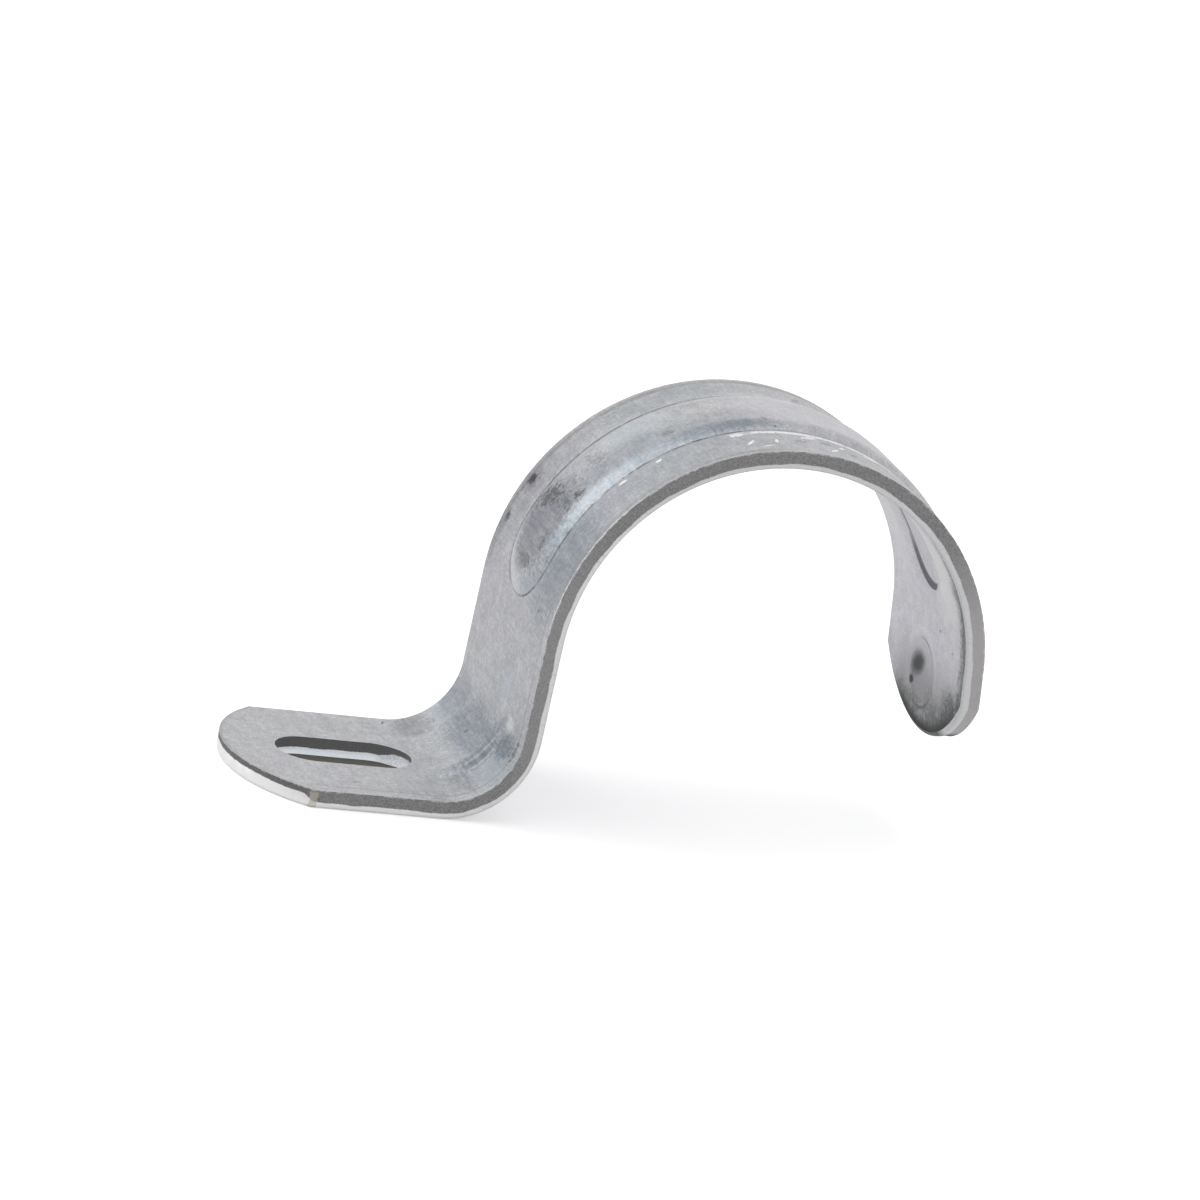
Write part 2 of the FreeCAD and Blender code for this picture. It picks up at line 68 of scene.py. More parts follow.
# The sheared walls: how far their lower rims are rolled and how far the outer face is drawn in.
ROLL = 0.35
SLOT_ROLL = 0.18
ROLL_STEPS = (22.5, 45.0, 67.5, 90.0)
RIM_INSET = 0.02
RIM_RAGGED = 0.5
# Loops on the torn part: how far up it, how far the wall is set back there, and how ragged it is.
TORN_STEPS = ((0.0, 0.0, 0.0), (0.08, 0.03, 0.4), (0.3, 0.045, 1.0), (0.55, 0.045, 1.0),
              (0.8, 0.045, 1.0), (0.93, 0.03, 0.8))
SHARP_ANGLE = math.radians(38)
SEED = 7.0


def spaced(stops):
    """Values through the given stops, with the given number of equal steps between each pair."""
    values = [stops[0]]
    for count, stop in zip(stops[1::2], stops[2::2]):
        first = values[-1]
        values += [first + (stop - first) * step / count for step in range(1, count + 1)]
    return values


# Where the foot's mesh, which runs in rings round the slot, meets the rows of the rest.
FOOT_JOINT = 7.0
PLAIN_ROWS = spaced([-9.8, 3, -9.5, 12, -5.1, 10, -3.9, 32, 3.9, 10, 5.1, 10, 8.9, 3, 9.2])
HOLLOW_ROWS = spaced([-9.8, 3, -9.5, 12, -3.6, 10, -2.5, 32, 2.5, 10, 3.6, 10, 8.9, 3, 9.2])
# The runs over which the conduit's side goes over to the rows of the hollow, and back.
TO_HOLLOW, FROM_HOLLOW = (20.0, 26.0), (72.0, 76.5)
RING_SHARES = spaced([0.0, 2, 0.05, 15, 0.95, 2, 1.0])
COLUMNS = spaced([FOOT_JOINT, 60, 22.0, 60, 32.5, 92, 65.0, 58, 75.0, 10, 77.0])
END_STEPS = 40
SIDE_STEPS = 44
TIP_STEPS = 84
# The part of each quarter of the slot's round ends that faces the joint or the tip.
FACING_SHARE = 0.8


def smooth_share(value, low, high):
    share = min(max((value - low) / (high - low), 0.0), 1.0)
    return share * share * (3 - 2 * share)


def row_places(run, inset, hollow):
    """Where the rows lie across the strip: in from its edges, and gathered at the creases."""
    share = 0.0
    if hollow:
        share = smooth_share(run, *TO_HOLLOW) * (1 - smooth_share(run, *FROM_HOLLOW))
    places = []
    for plain, gathered in zip(PLAIN_ROWS, HOLLOW_ROWS):
        place = plain + (gathered - plain) * share
        squeeze = inset * (1 - 2 * (place - FRONT_EDGE) / (BACK_EDGE - FRONT_EDGE))
        places.append(place + squeeze)
    return places


def slot_point(length, grow):
    """A point of the slot's outline, a length along it from its right-hand end, anticlockwise."""
    radius = SLOT_HALF_WIDTH
    quarter = math.pi * radius / 2
    straight = 2 * SLOT_HALF_RUN
    whole = 4 * quarter + 2 * straight
    length %= whole
    if length > whole / 2:
        run, across = slot_point(whole - length, grow)
        return (run, -across)
    radius += grow
    if length <= quarter:
        angle = length / quarter * math.pi / 2
        return (SLOT_HALF_RUN + radius * math.cos(angle), radius * math.sin(angle))
    if length <= quarter + straight:
        return (SLOT_HALF_RUN - (length - quarter), radius)
    angle = math.pi / 2 + (length - quarter - straight) / quarter * math.pi / 2
    return (-SLOT_HALF_RUN + radius * math.cos(angle), radius * math.sin(angle))


def foot_loops(inset, slot_grow):
    """The foot's outline and the slot's outline, point for point, anticlockwise from the joint."""
    centre = TIP_RUN + END_RADIUS
    radius = END_RADIUS - inset
    front, back = FRONT_EDGE + inset, BACK_EDGE - inset
    back_corner = math.atan2(back, -math.sqrt(radius ** 2 - back ** 2))
    front_corner = 2 * math.pi + math.atan2(front, -math.sqrt(radius ** 2 - front ** 2))
    outline = [(FOOT_JOINT, place) for place in row_places(FOOT_JOINT, inset, False)]
    last = centre + radius * math.cos(back_corner)
    outline += [(FOOT_JOINT + (last - FOOT_JOINT) * step / SIDE_STEPS, back)
                for step in range(1, SIDE_STEPS + 1)]
    for step in range(1, TIP_STEPS + 1):
        angle = back_corner + (front_corner - back_corner) * step / TIP_STEPS
        outline.append((centre + radius * math.cos(angle), radius * math.sin(angle)))
    first = outline[-1][0]
    outline += [(first + (FOOT_JOINT - first) * step / SIDE_STEPS, front)
                for step in range(1, SIDE_STEPS)]
    quarter = math.pi * SLOT_HALF_WIDTH / 2
    side = 2 * quarter + 2 * SLOT_HALF_RUN
    corner = quarter * FACING_SHARE
    rows = len(PLAIN_ROWS) - 1
    lengths = [-corner + 2 * corner * step / rows for step in range(rows + 1)]
    lengths += [corner + (side - 2 * corner) * step / SIDE_STEPS for step in range(1, SIDE_STEPS + 1)]
    lengths += [side - corner + 2 * corner * step / TIP_STEPS for step in range(1, TIP_STEPS + 1)]
    lengths += [side + corner + (side - 2 * corner) * step / SIDE_STEPS
                for step in range(1, SIDE_STEPS)]
    return outline, [slot_point(length, slot_grow) for length in lengths]


def skin_points(inset, slot_grow, hollow):
    """One face of the flat strip: rings round the slot, then columns to the leg's rounded end."""
    outline, hole = foot_loops(inset, slot_grow)
    rings = []
    for share in RING_SHARES:
        rings.append([(a[0] + (b[0] - a[0]) * share, a[1] + (b[1] - a[1]) * share)
                      for a, b in zip(hole, outline)])
    columns = [[(run, place) for place in row_places(run, inset, hollow)] for run in COLUMNS]
    centre = LEG_TIP - END_RADIUS
    straight_end = columns[-1]
    for step in range(1, END_STEPS + 1):
        column = []
        for run, place in straight_end:
            last = centre + math.sqrt((END_RADIUS - inset) ** 2 - place ** 2)
            column.append((run + (last - run) * step / END_STEPS, place))
        columns.append(column)
    return rings, columns


def rims(rings, columns):
    """The strip's own outline and the slot's, both anticlockwise seen from the outer side."""
    outline = rings[-1][len(PLAIN_ROWS):]
    outline += [column[0] for column in columns]
    outline += columns[-1][1:-1]
    outline += [column[-1] for column in reversed(columns)]
    return outline, rings[0]


def smooth_band(run, outward):
    """How high the smooth part of a sheared wall reaches before it is torn."""
    wander = 0.03 * math.sin(run * 0.9) + 0.02 * math.sin(run * 2.3 + 1)
    if not outward:
        return 0.62 + 0.42 * smooth_share(run, 3.6, 5.2) + wander
    foot_end = 1 - smooth_share(run, -5.4, -4.5)
    foot_end *= 1 + 0.25 * (1 - smooth_share(run, -9.0, -5.5))
    leg = smooth_share(run, LEG_START - 6, LEG_TIP)
    arch = smooth_share(run, ARCH_START, ARCH_START + 10) * (1 - leg)
    return 0.52 + 0.46 * foot_end + 0.12 * leg - 0.06 * arch + wander


class Blank:
    """The flat blank's points and faces, with what each point keeps for the press and the colours:
    how ragged it is, the height at which its wall is torn, and whether that is the slot's wall."""

    def __init__(self):
        self.points, self.ragged, self.faces = [], [], []
        self.torn_from, self.slot_wall = {}, {}

    def add_point(self, run, across, rise, ragged):
        self.points.append((run, across, rise))
        self.ragged.append(ragged)
        return len(self.points) - 1

    def add_cell(self, cell, forward):
        self.faces.append(cell if forward else cell[::-1])

    def add_skin(self, inset, slot_grow, hollow, rise, rim_ragged):
        """The points of one face of the blank, of which only the rims are ragged."""
        ring_points, column_points = skin_points(inset, slot_grow, hollow)
        rings = []
        for count, ring in enumerate(ring_points):
            ragged = rim_ragged if count in (0, len(ring_points) - 1) else 0.0
            rings.append([self.add_point(run, across, rise, ragged) for run, across in ring])
        columns = [rings[-1][:len(PLAIN_ROWS)]]
        for number in columns[0][1:-1]:
            self.ragged[number] = 0.0
        for count, column in enumerate(column_points[1:], 2):
            ends = (0, len(column) - 1)
            numbers = []
            for place, (run, across) in enumerate(column):
                on_rim = place in ends or count == len(column_points)
                numbers.append(self.add_point(run, across, rise, rim_ragged if on_rim else 0.0))
            columns.append(numbers)
        return rings, columns

    def add_cells(self, rings, columns, upward):
        for inner, outer in zip(rings, rings[1:]):
            for here in range(len(inner)):
                after = (here + 1) % len(inner)
                self.add_cell((inner[here], outer[here], outer[after], inner[after]), upward)
        for left, right in zip(columns, columns[1:]):
            for low in range(len(left) - 1):
                self.add_cell((left[low], right[low], right[low + 1], left[low + 1]), upward)

    def add_loop(self, low_rim, top_rim, drawn, rises, ragged):
        """A loop of a wall under the top rim, drawn over towards the low rim by a share."""
        loop = []
        for low, top, rise in zip(low_rim, top_rim, rises):
            a, b = self.points[low], self.points[top]
            run = b[0] + (a[0] - b[0]) * drawn
            across = b[1] + (a[1] - b[1]) * drawn
            loop.append(self.add_point(run, across, rise, ragged))
        return loop

    def add_wall(self, low_rim, top_rim, roll, outward):
        """Rolled edge, smooth sheared band and torn band, from the conduit's side to the outer side."""
        starts = [smooth_band(self.points[low][0], outward) for low in low_rim]
        loops = [low_rim]
        for angle in ROLL_STEPS:
            drawn = 1 - math.sin(math.radians(angle))
            rise = roll * (1 - math.cos(math.radians(angle)))
            loops.append(self.add_loop(low_rim, top_rim, drawn, [rise] * len(starts), 0.0))
        for height, set_back, ragged in TORN_STEPS:
            rises = [start + (SHEET - start) * height for start in starts]
            loops.append(self.add_loop(low_rim, top_rim, set_back / roll, rises, ragged))
        loops.append(top_rim)
        for loop in loops:
            for number, start in zip(loop, starts):
                self.torn_from[number] = start
                self.slot_wall[number] = 0.0 if outward else 1.0
        for low, high in zip(loops, loops[1:]):
            for here in range(len(low)):
                after = (here + 1) % len(low)
                self.add_cell((low[here], low[after], high[after], high[here]), outward)


def flat_strip():
    """The blank as a closed mesh, with its sheared faces marked."""
    blank = Blank()
    top = blank.add_skin(RIM_INSET, RIM_INSET, False, SHEET, RIM_RAGGED)
    low = blank.add_skin(ROLL, SLOT_ROLL, True, 0.0, 0.0)
    blank.add_cells(*top, True)
    blank.add_cells(*low, False)
    skins = len(blank.faces)
    top_outline, top_slot = rims(*top)
    low_outline, low_slot = rims(*low)
    blank.add_wall(low_outline, top_outline, ROLL, True)
    blank.add_wall(low_slot, top_slot, SLOT_ROLL, False)

    mesh = bpy.data.meshes.new("flat_strip")
    mesh.from_pydata(blank.points, [], blank.faces)
    mesh.attributes.new("ragged", "FLOAT", "POINT").data.foreach_set("value", blank.ragged)
    for name, kept in (("torn_from", blank.torn_from), ("slot_wall", blank.slot_wall)):
        values = [kept.get(number, 0.0) for number in range(len(blank.points))]
        mesh.attributes.new(name, "FLOAT", "POINT").data.foreach_set("value", values)
    sheared = [number >= skins for number in range(len(blank.faces))]
    mesh.attributes.new("sheared", "BOOLEAN", "FACE").data.foreach_set("value", sheared)
    return mesh


class Amount:
    """A number in a node tree. Plain arithmetic on it adds Math nodes to the tree."""

    def __init__(self, tree, socket):
        self.tree = tree
        self.socket = socket

    def _maths(self, operation, *others):
        node = self.tree.nodes.new("ShaderNodeMath")
        node.operation = operation
        for slot, item in zip(node.inputs, others):
            if isinstance(item, Amount):
                self.tree.links.new(item.socket, slot)
            else:
                slot.default_value = item
        return Amount(self.tree, node.outputs[0])

    def __add__(self, other):
        return self._maths("ADD", self, other)

    __radd__ = __add__

    def __sub__(self, other):
        return self._maths("SUBTRACT", self, other)

    def __rsub__(self, other):
        return self._maths("SUBTRACT", other, self)

    def __mul__(self, other):
        return self._maths("MULTIPLY", self, other)

    __rmul__ = __mul__

    def __truediv__(self, other):
        return self._maths("DIVIDE", self, other)

    def sine(self):
        return self._maths("SINE", self)

    def cosine(self):
        return self._maths("COSINE", self)

    def root(self):
        return self._maths("SQRT", self)

    def size(self):
        return self._maths("ABSOLUTE", self)

    def at_most(self, other):
        return self._maths("MINIMUM", self, other)

    def at_least(self, other):
        return self._maths("MAXIMUM", self, other)

    def held(self):
        """The number held between 0 and 1."""
        return self.at_least(0.0).at_most(1.0)

    def ramp(self, low, high):
        """Rises smoothly from 0 at low to 1 at high; low may be the larger of the two."""
        node = self.tree.nodes.new("ShaderNodeMapRange")
        node.interpolation_type = "SMOOTHSTEP"
        node.clamp = True
        ends = (low, high, 0.0, 1.0) if low < high else (high, low, 1.0, 0.0)
        self.tree.links.new(self.socket, node.inputs[0])
        for slot, item in zip(list(node.inputs)[1:], ends):
            slot.default_value = item
        return Amount(self.tree, node.outputs[0])

    def line(self, place, foot, core):
        """A line at a place: 1 within core of it, falling to 0 at foot from it."""
        return (self - place).size().ramp(foot, core)


def distance(first, second):
    return (first * first + second * second).root()


def rib_distance(run, across):
    """How far a point is from the rib's middle line, which ends at the centres of its round ends."""
    past = (RIB_START - run).at_least(run - RIB_END).at_least(0.0)
    return distance(past, across)


def separate(tree, vector):
    node = tree.nodes.new("ShaderNodeSeparateXYZ")
    tree.links.new(vector, node.inputs[0])
    return [Amount(tree, output) for output in node.outputs]


def combine(tree, x, y, z):
    node = tree.nodes.new("ShaderNodeCombineXYZ")
    for slot, item in zip(node.inputs, (x, y, z)):
        if isinstance(item, Amount):
            tree.links.new(item.socket, slot)
        else:
            slot.default_value = item
    return node.outputs[0]


def noise(tree, vector, scale, detail=3.0, roughness=0.55, distortion=0.0):
    """A noise texture's strength, as a number, and its colour's socket."""
    node = tree.nodes.new("ShaderNodeTexNoise")
    node.inputs["Scale"].default_value = scale
    node.inputs["Detail"].default_value = detail
    node.inputs["Roughness"].default_value = roughness
    node.inputs["Distortion"].default_value = distortion
    tree.links.new(vector, node.inputs["Vector"])
    return Amount(tree, node.outputs[0]), node.outputs[1]


def kept_value(tree, name, kind):
    """What the blank's points or faces keep under a name, in a geometry tree."""
    node = tree.nodes.new("GeometryNodeInputNamedAttribute")
    node.data_type = kind
    node.inputs["Name"].default_value = name
    return node.outputs[0]


PRESS_SIZES = {
    "Sheet": SHEET,
    "Bend radius": BEND_RADIUS,
    "Gusset radius": GUSSET_RADIUS,
    "Gusset half width": 4.575,
    "Gusset middle": 0.075,
    "Rib height": 0.5,
    "Rib half width": RIB_HALF,
    "Rib flank": 1.8,
    "Hollow half width": HOLLOW_HALF,
    "Hollow flank": 1.75,
    "Dimple depth": 0.5,
    "Dimple radius": 2.8,
    "Unevenness": 0.022,
    "Burr": 0.024,
    "Seed": SEED,
}
# How softly the gusset's sides blend in, how much wider the dimple's bulge is than the dimple, and
# how much further the burr strays across than along.
GUSSET_BLEND = 0.4
BULGE_SPREAD = 1.1
BURR_ACROSS = 1.4


def bent_place(given, run, across):
    """The X and Z of a point of the plain strip's outer side, once bent, and its lean there."""
    # The gusset fills the corner of the bend: it starts earlier and has a larger radius.
    reach = (across - given("Gusset middle")).size() - given("Gusset half width")
    fill = 1.0 - reach.ramp(-GUSSET_BLEND, GUSSET_BLEND)
    early = (given("Gusset radius") - given("Bend radius")) * math.tan(TURN / 2) * fill
    bend_start = BEND_START - early
    bend_run = early * 2.0 + given("Bend radius") * TURN
    radius = given("Bend radius") + (given("Gusset radius") - given("Bend radius")) * fill
    bent = ((run - bend_start) / bend_run).held() * TURN
    riser = (run - bend_start - bend_run).at_least(0.0).at_most(RISER - early)
    arched = ((run - ARCH_START) / ARCH_RADIUS).at_least(0.0).at_most(SWEEP)
    leg = (run - LEG_START).at_least(0.0)
    foot = run.at_most(bend_start)
    heading = TURN - arched
    x = (foot + radius * bent.sine() + riser * math.cos(TURN)
         + (math.sin(TURN) - heading.sine()) * ARCH_RADIUS + leg * math.cos(TURN - SWEEP))
    z = (given("Sheet") + radius * (1.0 - bent.cosine()) + riser * math.sin(TURN)
         + (heading.cosine() - math.cos(TURN)) * ARCH_RADIUS + leg * math.sin(TURN - SWEEP))
    return x, z, bent - arched


def pressed_lift(given, run, across, outer_share):
    """How far the rib and the dimple lift a point off the plain strip."""
    # The rib: a rounded flank on the outer side, and inside it a hollow with a sharp, flat floor.
    off = rib_distance(run, across)
    climb = ((given("Rib half width") - off) / given("Rib flank")).held()
    rib_outside = (1.0 - (1.0 - climb) * (1.0 - climb)) * given("Rib height")
    drop = ((off - given("Hollow half width")) / given("Hollow flank")).held()
    rib_inside = (1.0 - drop) * (1.0 - drop) * given("Rib height")

    # The dimple in the leg: a shallow cap with a crisp rim inside, and its bulge outside.
    away = distance(run - DIMPLE_RUN, across)
    inner = (away / given("Dimple radius")).at_most(1.0)
    outer = (away / (given("Dimple radius") * BULGE_SPREAD)).at_most(1.0)
    dimple_inside = (1.0 - inner * inner) * given("Dimple depth")
    dimple_outside = (1.0 - outer * outer) * given("Dimple depth")
    lift_inside = rib_inside + dimple_inside
    lift_outside = rib_outside + dimple_outside
    return lift_inside + (lift_outside - lift_inside) * outer_share


def coated(tree, geometry, zinc, torn):
    """The mesh shaded smooth, with zinc on it and bare steel on its sheared faces."""
    soften = tree.nodes.new("GeometryNodeSetShadeSmooth")
    tree.links.new(geometry, soften.inputs[0])
    whole = tree.nodes.new("GeometryNodeRealizeInstances")
    tree.links.new(soften.outputs[0], whole.inputs[0])
    coat = tree.nodes.new("GeometryNodeSetMaterial")
    coat.inputs["Material"].default_value = zinc
    tree.links.new(whole.outputs[0], coat.inputs["Geometry"])
    cut = tree.nodes.new("GeometryNodeSetMaterial")
    cut.inputs["Material"].default_value = torn
    tree.links.new(kept_value(tree, "sheared", "BOOLEAN"), cut.inputs["Selection"])
    tree.links.new(coat.outputs[0], cut.inputs["Geometry"])
    return cut.outputs[0]


def press_tree(zinc, torn):
    """The node tree that presses and bends the flat strip, in millimetres, and scales it to metres."""
    tree = bpy.data.node_groups.new("press_and_bend", "GeometryNodeTree")
    tree.is_modifier = True
    tree.interface.new_socket("Strip", in_out="INPUT", socket_type="NodeSocketGeometry")
    for name, value in PRESS_SIZES.items():
        socket = tree.interface.new_socket(name, in_out="INPUT", socket_type="NodeSocketFloat")
        socket.default_value = value
    tree.interface.new_socket("Strap", in_out="OUTPUT", socket_type="NodeSocketGeometry")
    start = tree.nodes.new("NodeGroupInput")
    end = tree.nodes.new("NodeGroupOutput")

    def given(name):
        return Amount(tree, start.outputs[name])

    place = tree.nodes.new("GeometryNodeInputPosition").outputs[0]
    run, across, rise = separate(tree, place)
    keep = tree.nodes.new("GeometryNodeStoreNamedAttribute")
    keep.data_type = "FLOAT_VECTOR"
    keep.domain = "POINT"
    keep.inputs["Name"].default_value = "strip"
    tree.links.new(start.outputs["Strip"], keep.inputs["Geometry"])
    tree.links.new(place, keep.inputs["Value"])

    # Share of the outer side's shape: 1 on the outer side and 0 on the conduit's side.
    outer_share = rise / given("Sheet")
    x, z, lean = bent_place(given, run, across)
    lift = pressed_lift(given, run, across, outer_share)

    # Slight unevenness of the sheet, and the torn roughness of the sheared faces. The underside
    # stays on the wall.
    uneven, _ = noise(tree, combine(tree, run, across, given("Seed")), 0.11, detail=1.5)
    swell = (uneven - 0.5) * 2.0 * given("Unevenness")
    grain = combine(tree, run, across, rise + given("Seed"))
    tear, tear_colour = noise(tree, grain, 2.6, roughness=0.65)
    ragged = Amount(tree, kept_value(tree, "ragged", "FLOAT"))
    red, green, _ = separate(tree, tear_colour)
    jitter = ragged * given("Burr") * 2.0
    normal_shift = rise - given("Sheet") + lift + swell + (red - 0.5) * jitter
    along_shift = (green - 0.5) * jitter
    x = x - lean.sine() * normal_shift + lean.cosine() * along_shift
    z = (z + lean.cosine() * normal_shift + lean.sine() * along_shift).at_least(0.0)
    y = across + (tear - 0.5) * jitter * BURR_ACROSS
    move = tree.nodes.new("GeometryNodeSetPosition")
    tree.links.new(keep.outputs["Geometry"], move.inputs["Geometry"])
    tree.links.new(combine(tree, x * METRE, y * METRE, z * METRE), move.inputs["Position"])
    tree.links.new(coated(tree, move.outputs[0], zinc, torn), end.inputs["Strap"])
    return tree


def pressed_strap(zinc, torn):
    """The strap as one plain mesh, pressed and bent from the blank by the node tree."""
    blank = bpy.data.objects.new("flat_strip", flat_strip())
    bpy.context.scene.collection.objects.link(blank)
    tree = press_tree(zinc, torn)
    modifier = blank.modifiers.new("press_and_bend", "NODES")
    modifier.node_group = tree
    identifiers = {item.name: item.identifier for item in tree.interface.items_tree
                   if item.item_type == "SOCKET" and item.in_out == "INPUT"}
    for name, value in PRESS_SIZES.items():
        modifier[identifiers[name]] = value
    graph = bpy.context.evaluated_depsgraph_get()
    mesh = bpy.data.meshes.new_from_object(blank.evaluated_get(graph), preserve_all_data_layers=True,
                                           depsgraph=graph)
    blank.modifiers.remove(modifier)
    bpy.data.objects.remove(blank)
    mesh.name = "galvanised_strap"
    work = bmesh.new()
    work.from_mesh(mesh)
    bmesh.ops.recalc_face_normals(work, faces=work.faces)
    work.to_mesh(mesh)
    work.free()
    mesh.set_sharp_from_angle(angle=SHARP_ANGLE)
    strap = bpy.data.objects.new("galvanised_strap", mesh)
    bpy.context.scene.collection.objects.link(strap)
    return strap


def mix_colour(tree, share, first, second):
    """The first colour where share is 0 and the second where it is 1."""
    node = tree.nodes.new("ShaderNodeMix")
    node.data_type = "RGBA"
    factor = [item for item in node.inputs if item.name == "Factor" and item.type == "VALUE"][0]
    tree.links.new(share.socket, factor)
    slots = [item for item in node.inputs if item.type == "RGBA"]
    for slot, item in zip(slots, (first, second)):
        if isinstance(item, tuple):
            slot.default_value = (*item, 1.0)
        else:
            tree.links.new(item, slot)
    return [item for item in node.outputs if item.type == "RGBA"][0]


def tinted(tree, colour, tints):
    """The colour with each tint, given as a share and a colour, laid over it in turn."""
    for share, tint in tints:
        colour = mix_colour(tree, share, colour, tint)
    return colour


def mark_group():
    """A ragged oval mark on the strip, as a share from 0 to 1."""
    tree = bpy.data.node_groups.new("mark", "ShaderNodeTree")
    tree.interface.new_socket("Strip", in_out="INPUT", socket_type="NodeSocketVector")
    for name, value in (("Wander", 0.0), ("Run", 0.0), ("Across", 0.0), ("Half run", 1.0),
                        ("Half across", 1.0), ("Turn", 0.0), ("Edge", 0.3), ("Ragged", 0.3),
                        ("Strength", 1.0)):
        socket = tree.interface.new_socket(name, in_out="INPUT", socket_type="NodeSocketFloat")
        socket.default_value = value
    tree.interface.new_socket("Share", in_out="OUTPUT", socket_type="NodeSocketFloat")
    start = tree.nodes.new("NodeGroupInput")
    end = tree.nodes.new("NodeGroupOutput")

    def given(name):
        return Amount(tree, start.outputs[name])

    run, across, _ = separate(tree, start.outputs["Strip"])
    along, aside = run - given("Run"), across - given("Across")
    cosine, sine = given("Turn").cosine(), given("Turn").sine()
    first = (along * cosine + aside * sine) / given("Half run")
    second = (aside * cosine - along * sine) / given("Half across")
    off = distance(first, second)
    share = ((1.0 - off + given("Wander") * given("Ragged")) / given("Edge") + 0.5).held()
    smooth = share * share * (3.0 - share * 2.0) * given("Strength")
    tree.links.new(smooth.socket, end.inputs["Share"])
    return tree


def new_material(name):
    """A material with one shader. The last of its parts is where on the flat strip each point was."""
    material = bpy.data.materials.new(name)
    material.use_nodes = True
    tree = material.node_tree
    tree.nodes.clear()
    output = tree.nodes.new("ShaderNodeOutputMaterial")
    shader = tree.nodes.new("ShaderNodeBsdfPrincipled")
    tree.links.new(shader.outputs[0], output.inputs["Surface"])
    laid = tree.nodes.new("ShaderNodeAttribute")
    laid.attribute_name = "strip"
    return material, tree, shader, laid.outputs["Vector"]


def add_bump(tree, shader, height, depth, strength):
    bump = tree.nodes.new("ShaderNodeBump")
    bump.inputs["Distance"].default_value = depth
    bump.inputs["Strength"].default_value = strength
    tree.links.new(height.socket, bump.inputs["Height"])
    tree.links.new(bump.outputs[0], shader.inputs["Normal"])


# Each mark is a run, a place across, half its length, half its width, a turn, how soft its edge is,
# how ragged it is and how strong. The first lists are on the outer side.
# Dark blue-grey patches of painted reflection and shade, where the zinc faces a darker part of the
# room, most of them in the bend.
DARK_REFLECTION_PATCHES = [
    (11.2, 0.3, 2.3, 5.4, 0.0, 1.1, 0.35, 0.5),
    (12.2, -3.2, 1.1, 1.5, 0.3, 1.2, 0.4, 0.58),
    (10.9, -7.2, 2.6, 2.8, 0.0, 0.9, 0.4, 0.3),
    (12.6, -6.4, 1.1, 1.9, 0.1, 1.0, 0.7, 0.75),
    (10.9, -4.2, 3.0, 0.95, 0.0, 1.2, 0.5, 0.72),
    (42.0, 6.8, 5.0, 2.4, 0.0, 1.2, 0.4, 0.2),
    (11.8, 7.2, 2.0, 3.4, 0.0, 1.0, 0.4, 0.4),
    (28.0, -6.6, 5.4, 3.4, 0.0, 1.1, 0.4, 0.5),
    (38.0, -2.0, 5.6, 2.0, 0.0, 1.2, 0.5, 0.36),
    (39.5, -6.9, 7.5, 2.8, 0.0, 1.3, 0.5, 0.25),
    (45.0, -3.4, 4.4, 0.9, 0.0, 0.9, 0.4, 0.55),
    (45.0, -1.9, 4.6, 1.6, 0.0, 1.3, 0.4, 0.25),
    (6.5, 0.0, 2.4, 9.0, 0.0, 1.4, 0.5, 0.12),
]
# Grey patches: partly stains, partly painted shade, such as the broad darkening over the riser.
GREY_STAIN_AND_SHADE_PATCHES = [
    (29.2, 0.0, 4.3, 3.6, 0.0, 0.6, 0.5, 0.55),
    (30.5, 7.6, 7.5, 2.8, 0.0, 1.2, 0.5, 0.28),
    (7.5, 6.9, 1.5, 2.3, 0.0, 0.6, 0.7, 0.38),
    (8.2, -6.4, 0.9, 2.1, 0.1, 1.1, 0.7, 0.3),
    (14.1, -6.9, 1.2, 1.6, 0.0, 0.9, 0.8, 0.16),
    (18.3, -2.0, 1.6, 1.2, -0.5, 1.0, 1.4, 0.24),
    (19.7, 0.6, 0.9, 0.5, 0.8, 0.9, 0.9, 0.2),
    (16.0, 0.9, 0.3, 0.6, 0.2, 0.9, 0.9, 0.2),
    (26.3, 8.5, 3.4, 0.8, 0.0, 0.9, 0.7, 0.5),
    (18.0, 0.0, 7.0, 12.0, 0.0, 0.9, 0.2, 0.1),
    (0.4, 6.9, 0.3, 2.6, 0.0, 1.2, 0.9, 0.14),
    (3.6, -7.9, 1.6, 0.6, 0.0, 0.9, 0.9, 0.16),
]
# Pale blue patches of painted reflection, in the bend and on the rib.
PALE_REFLECTION_PATCHES = [
    (10.2, 6.7, 1.5, 3.0, 0.0, 0.6, 0.4, 0.3),
    (10.6, -7.0, 1.5, 2.0, 0.0, 0.7, 0.4, 0.45),
    (16.5, -2.8, 1.6, 1.0, 0.2, 1.0, 0.5, 0.4),
    (39.0, 2.0, 3.0, 2.4, 0.0, 1.4, 0.5, 0.3),
]
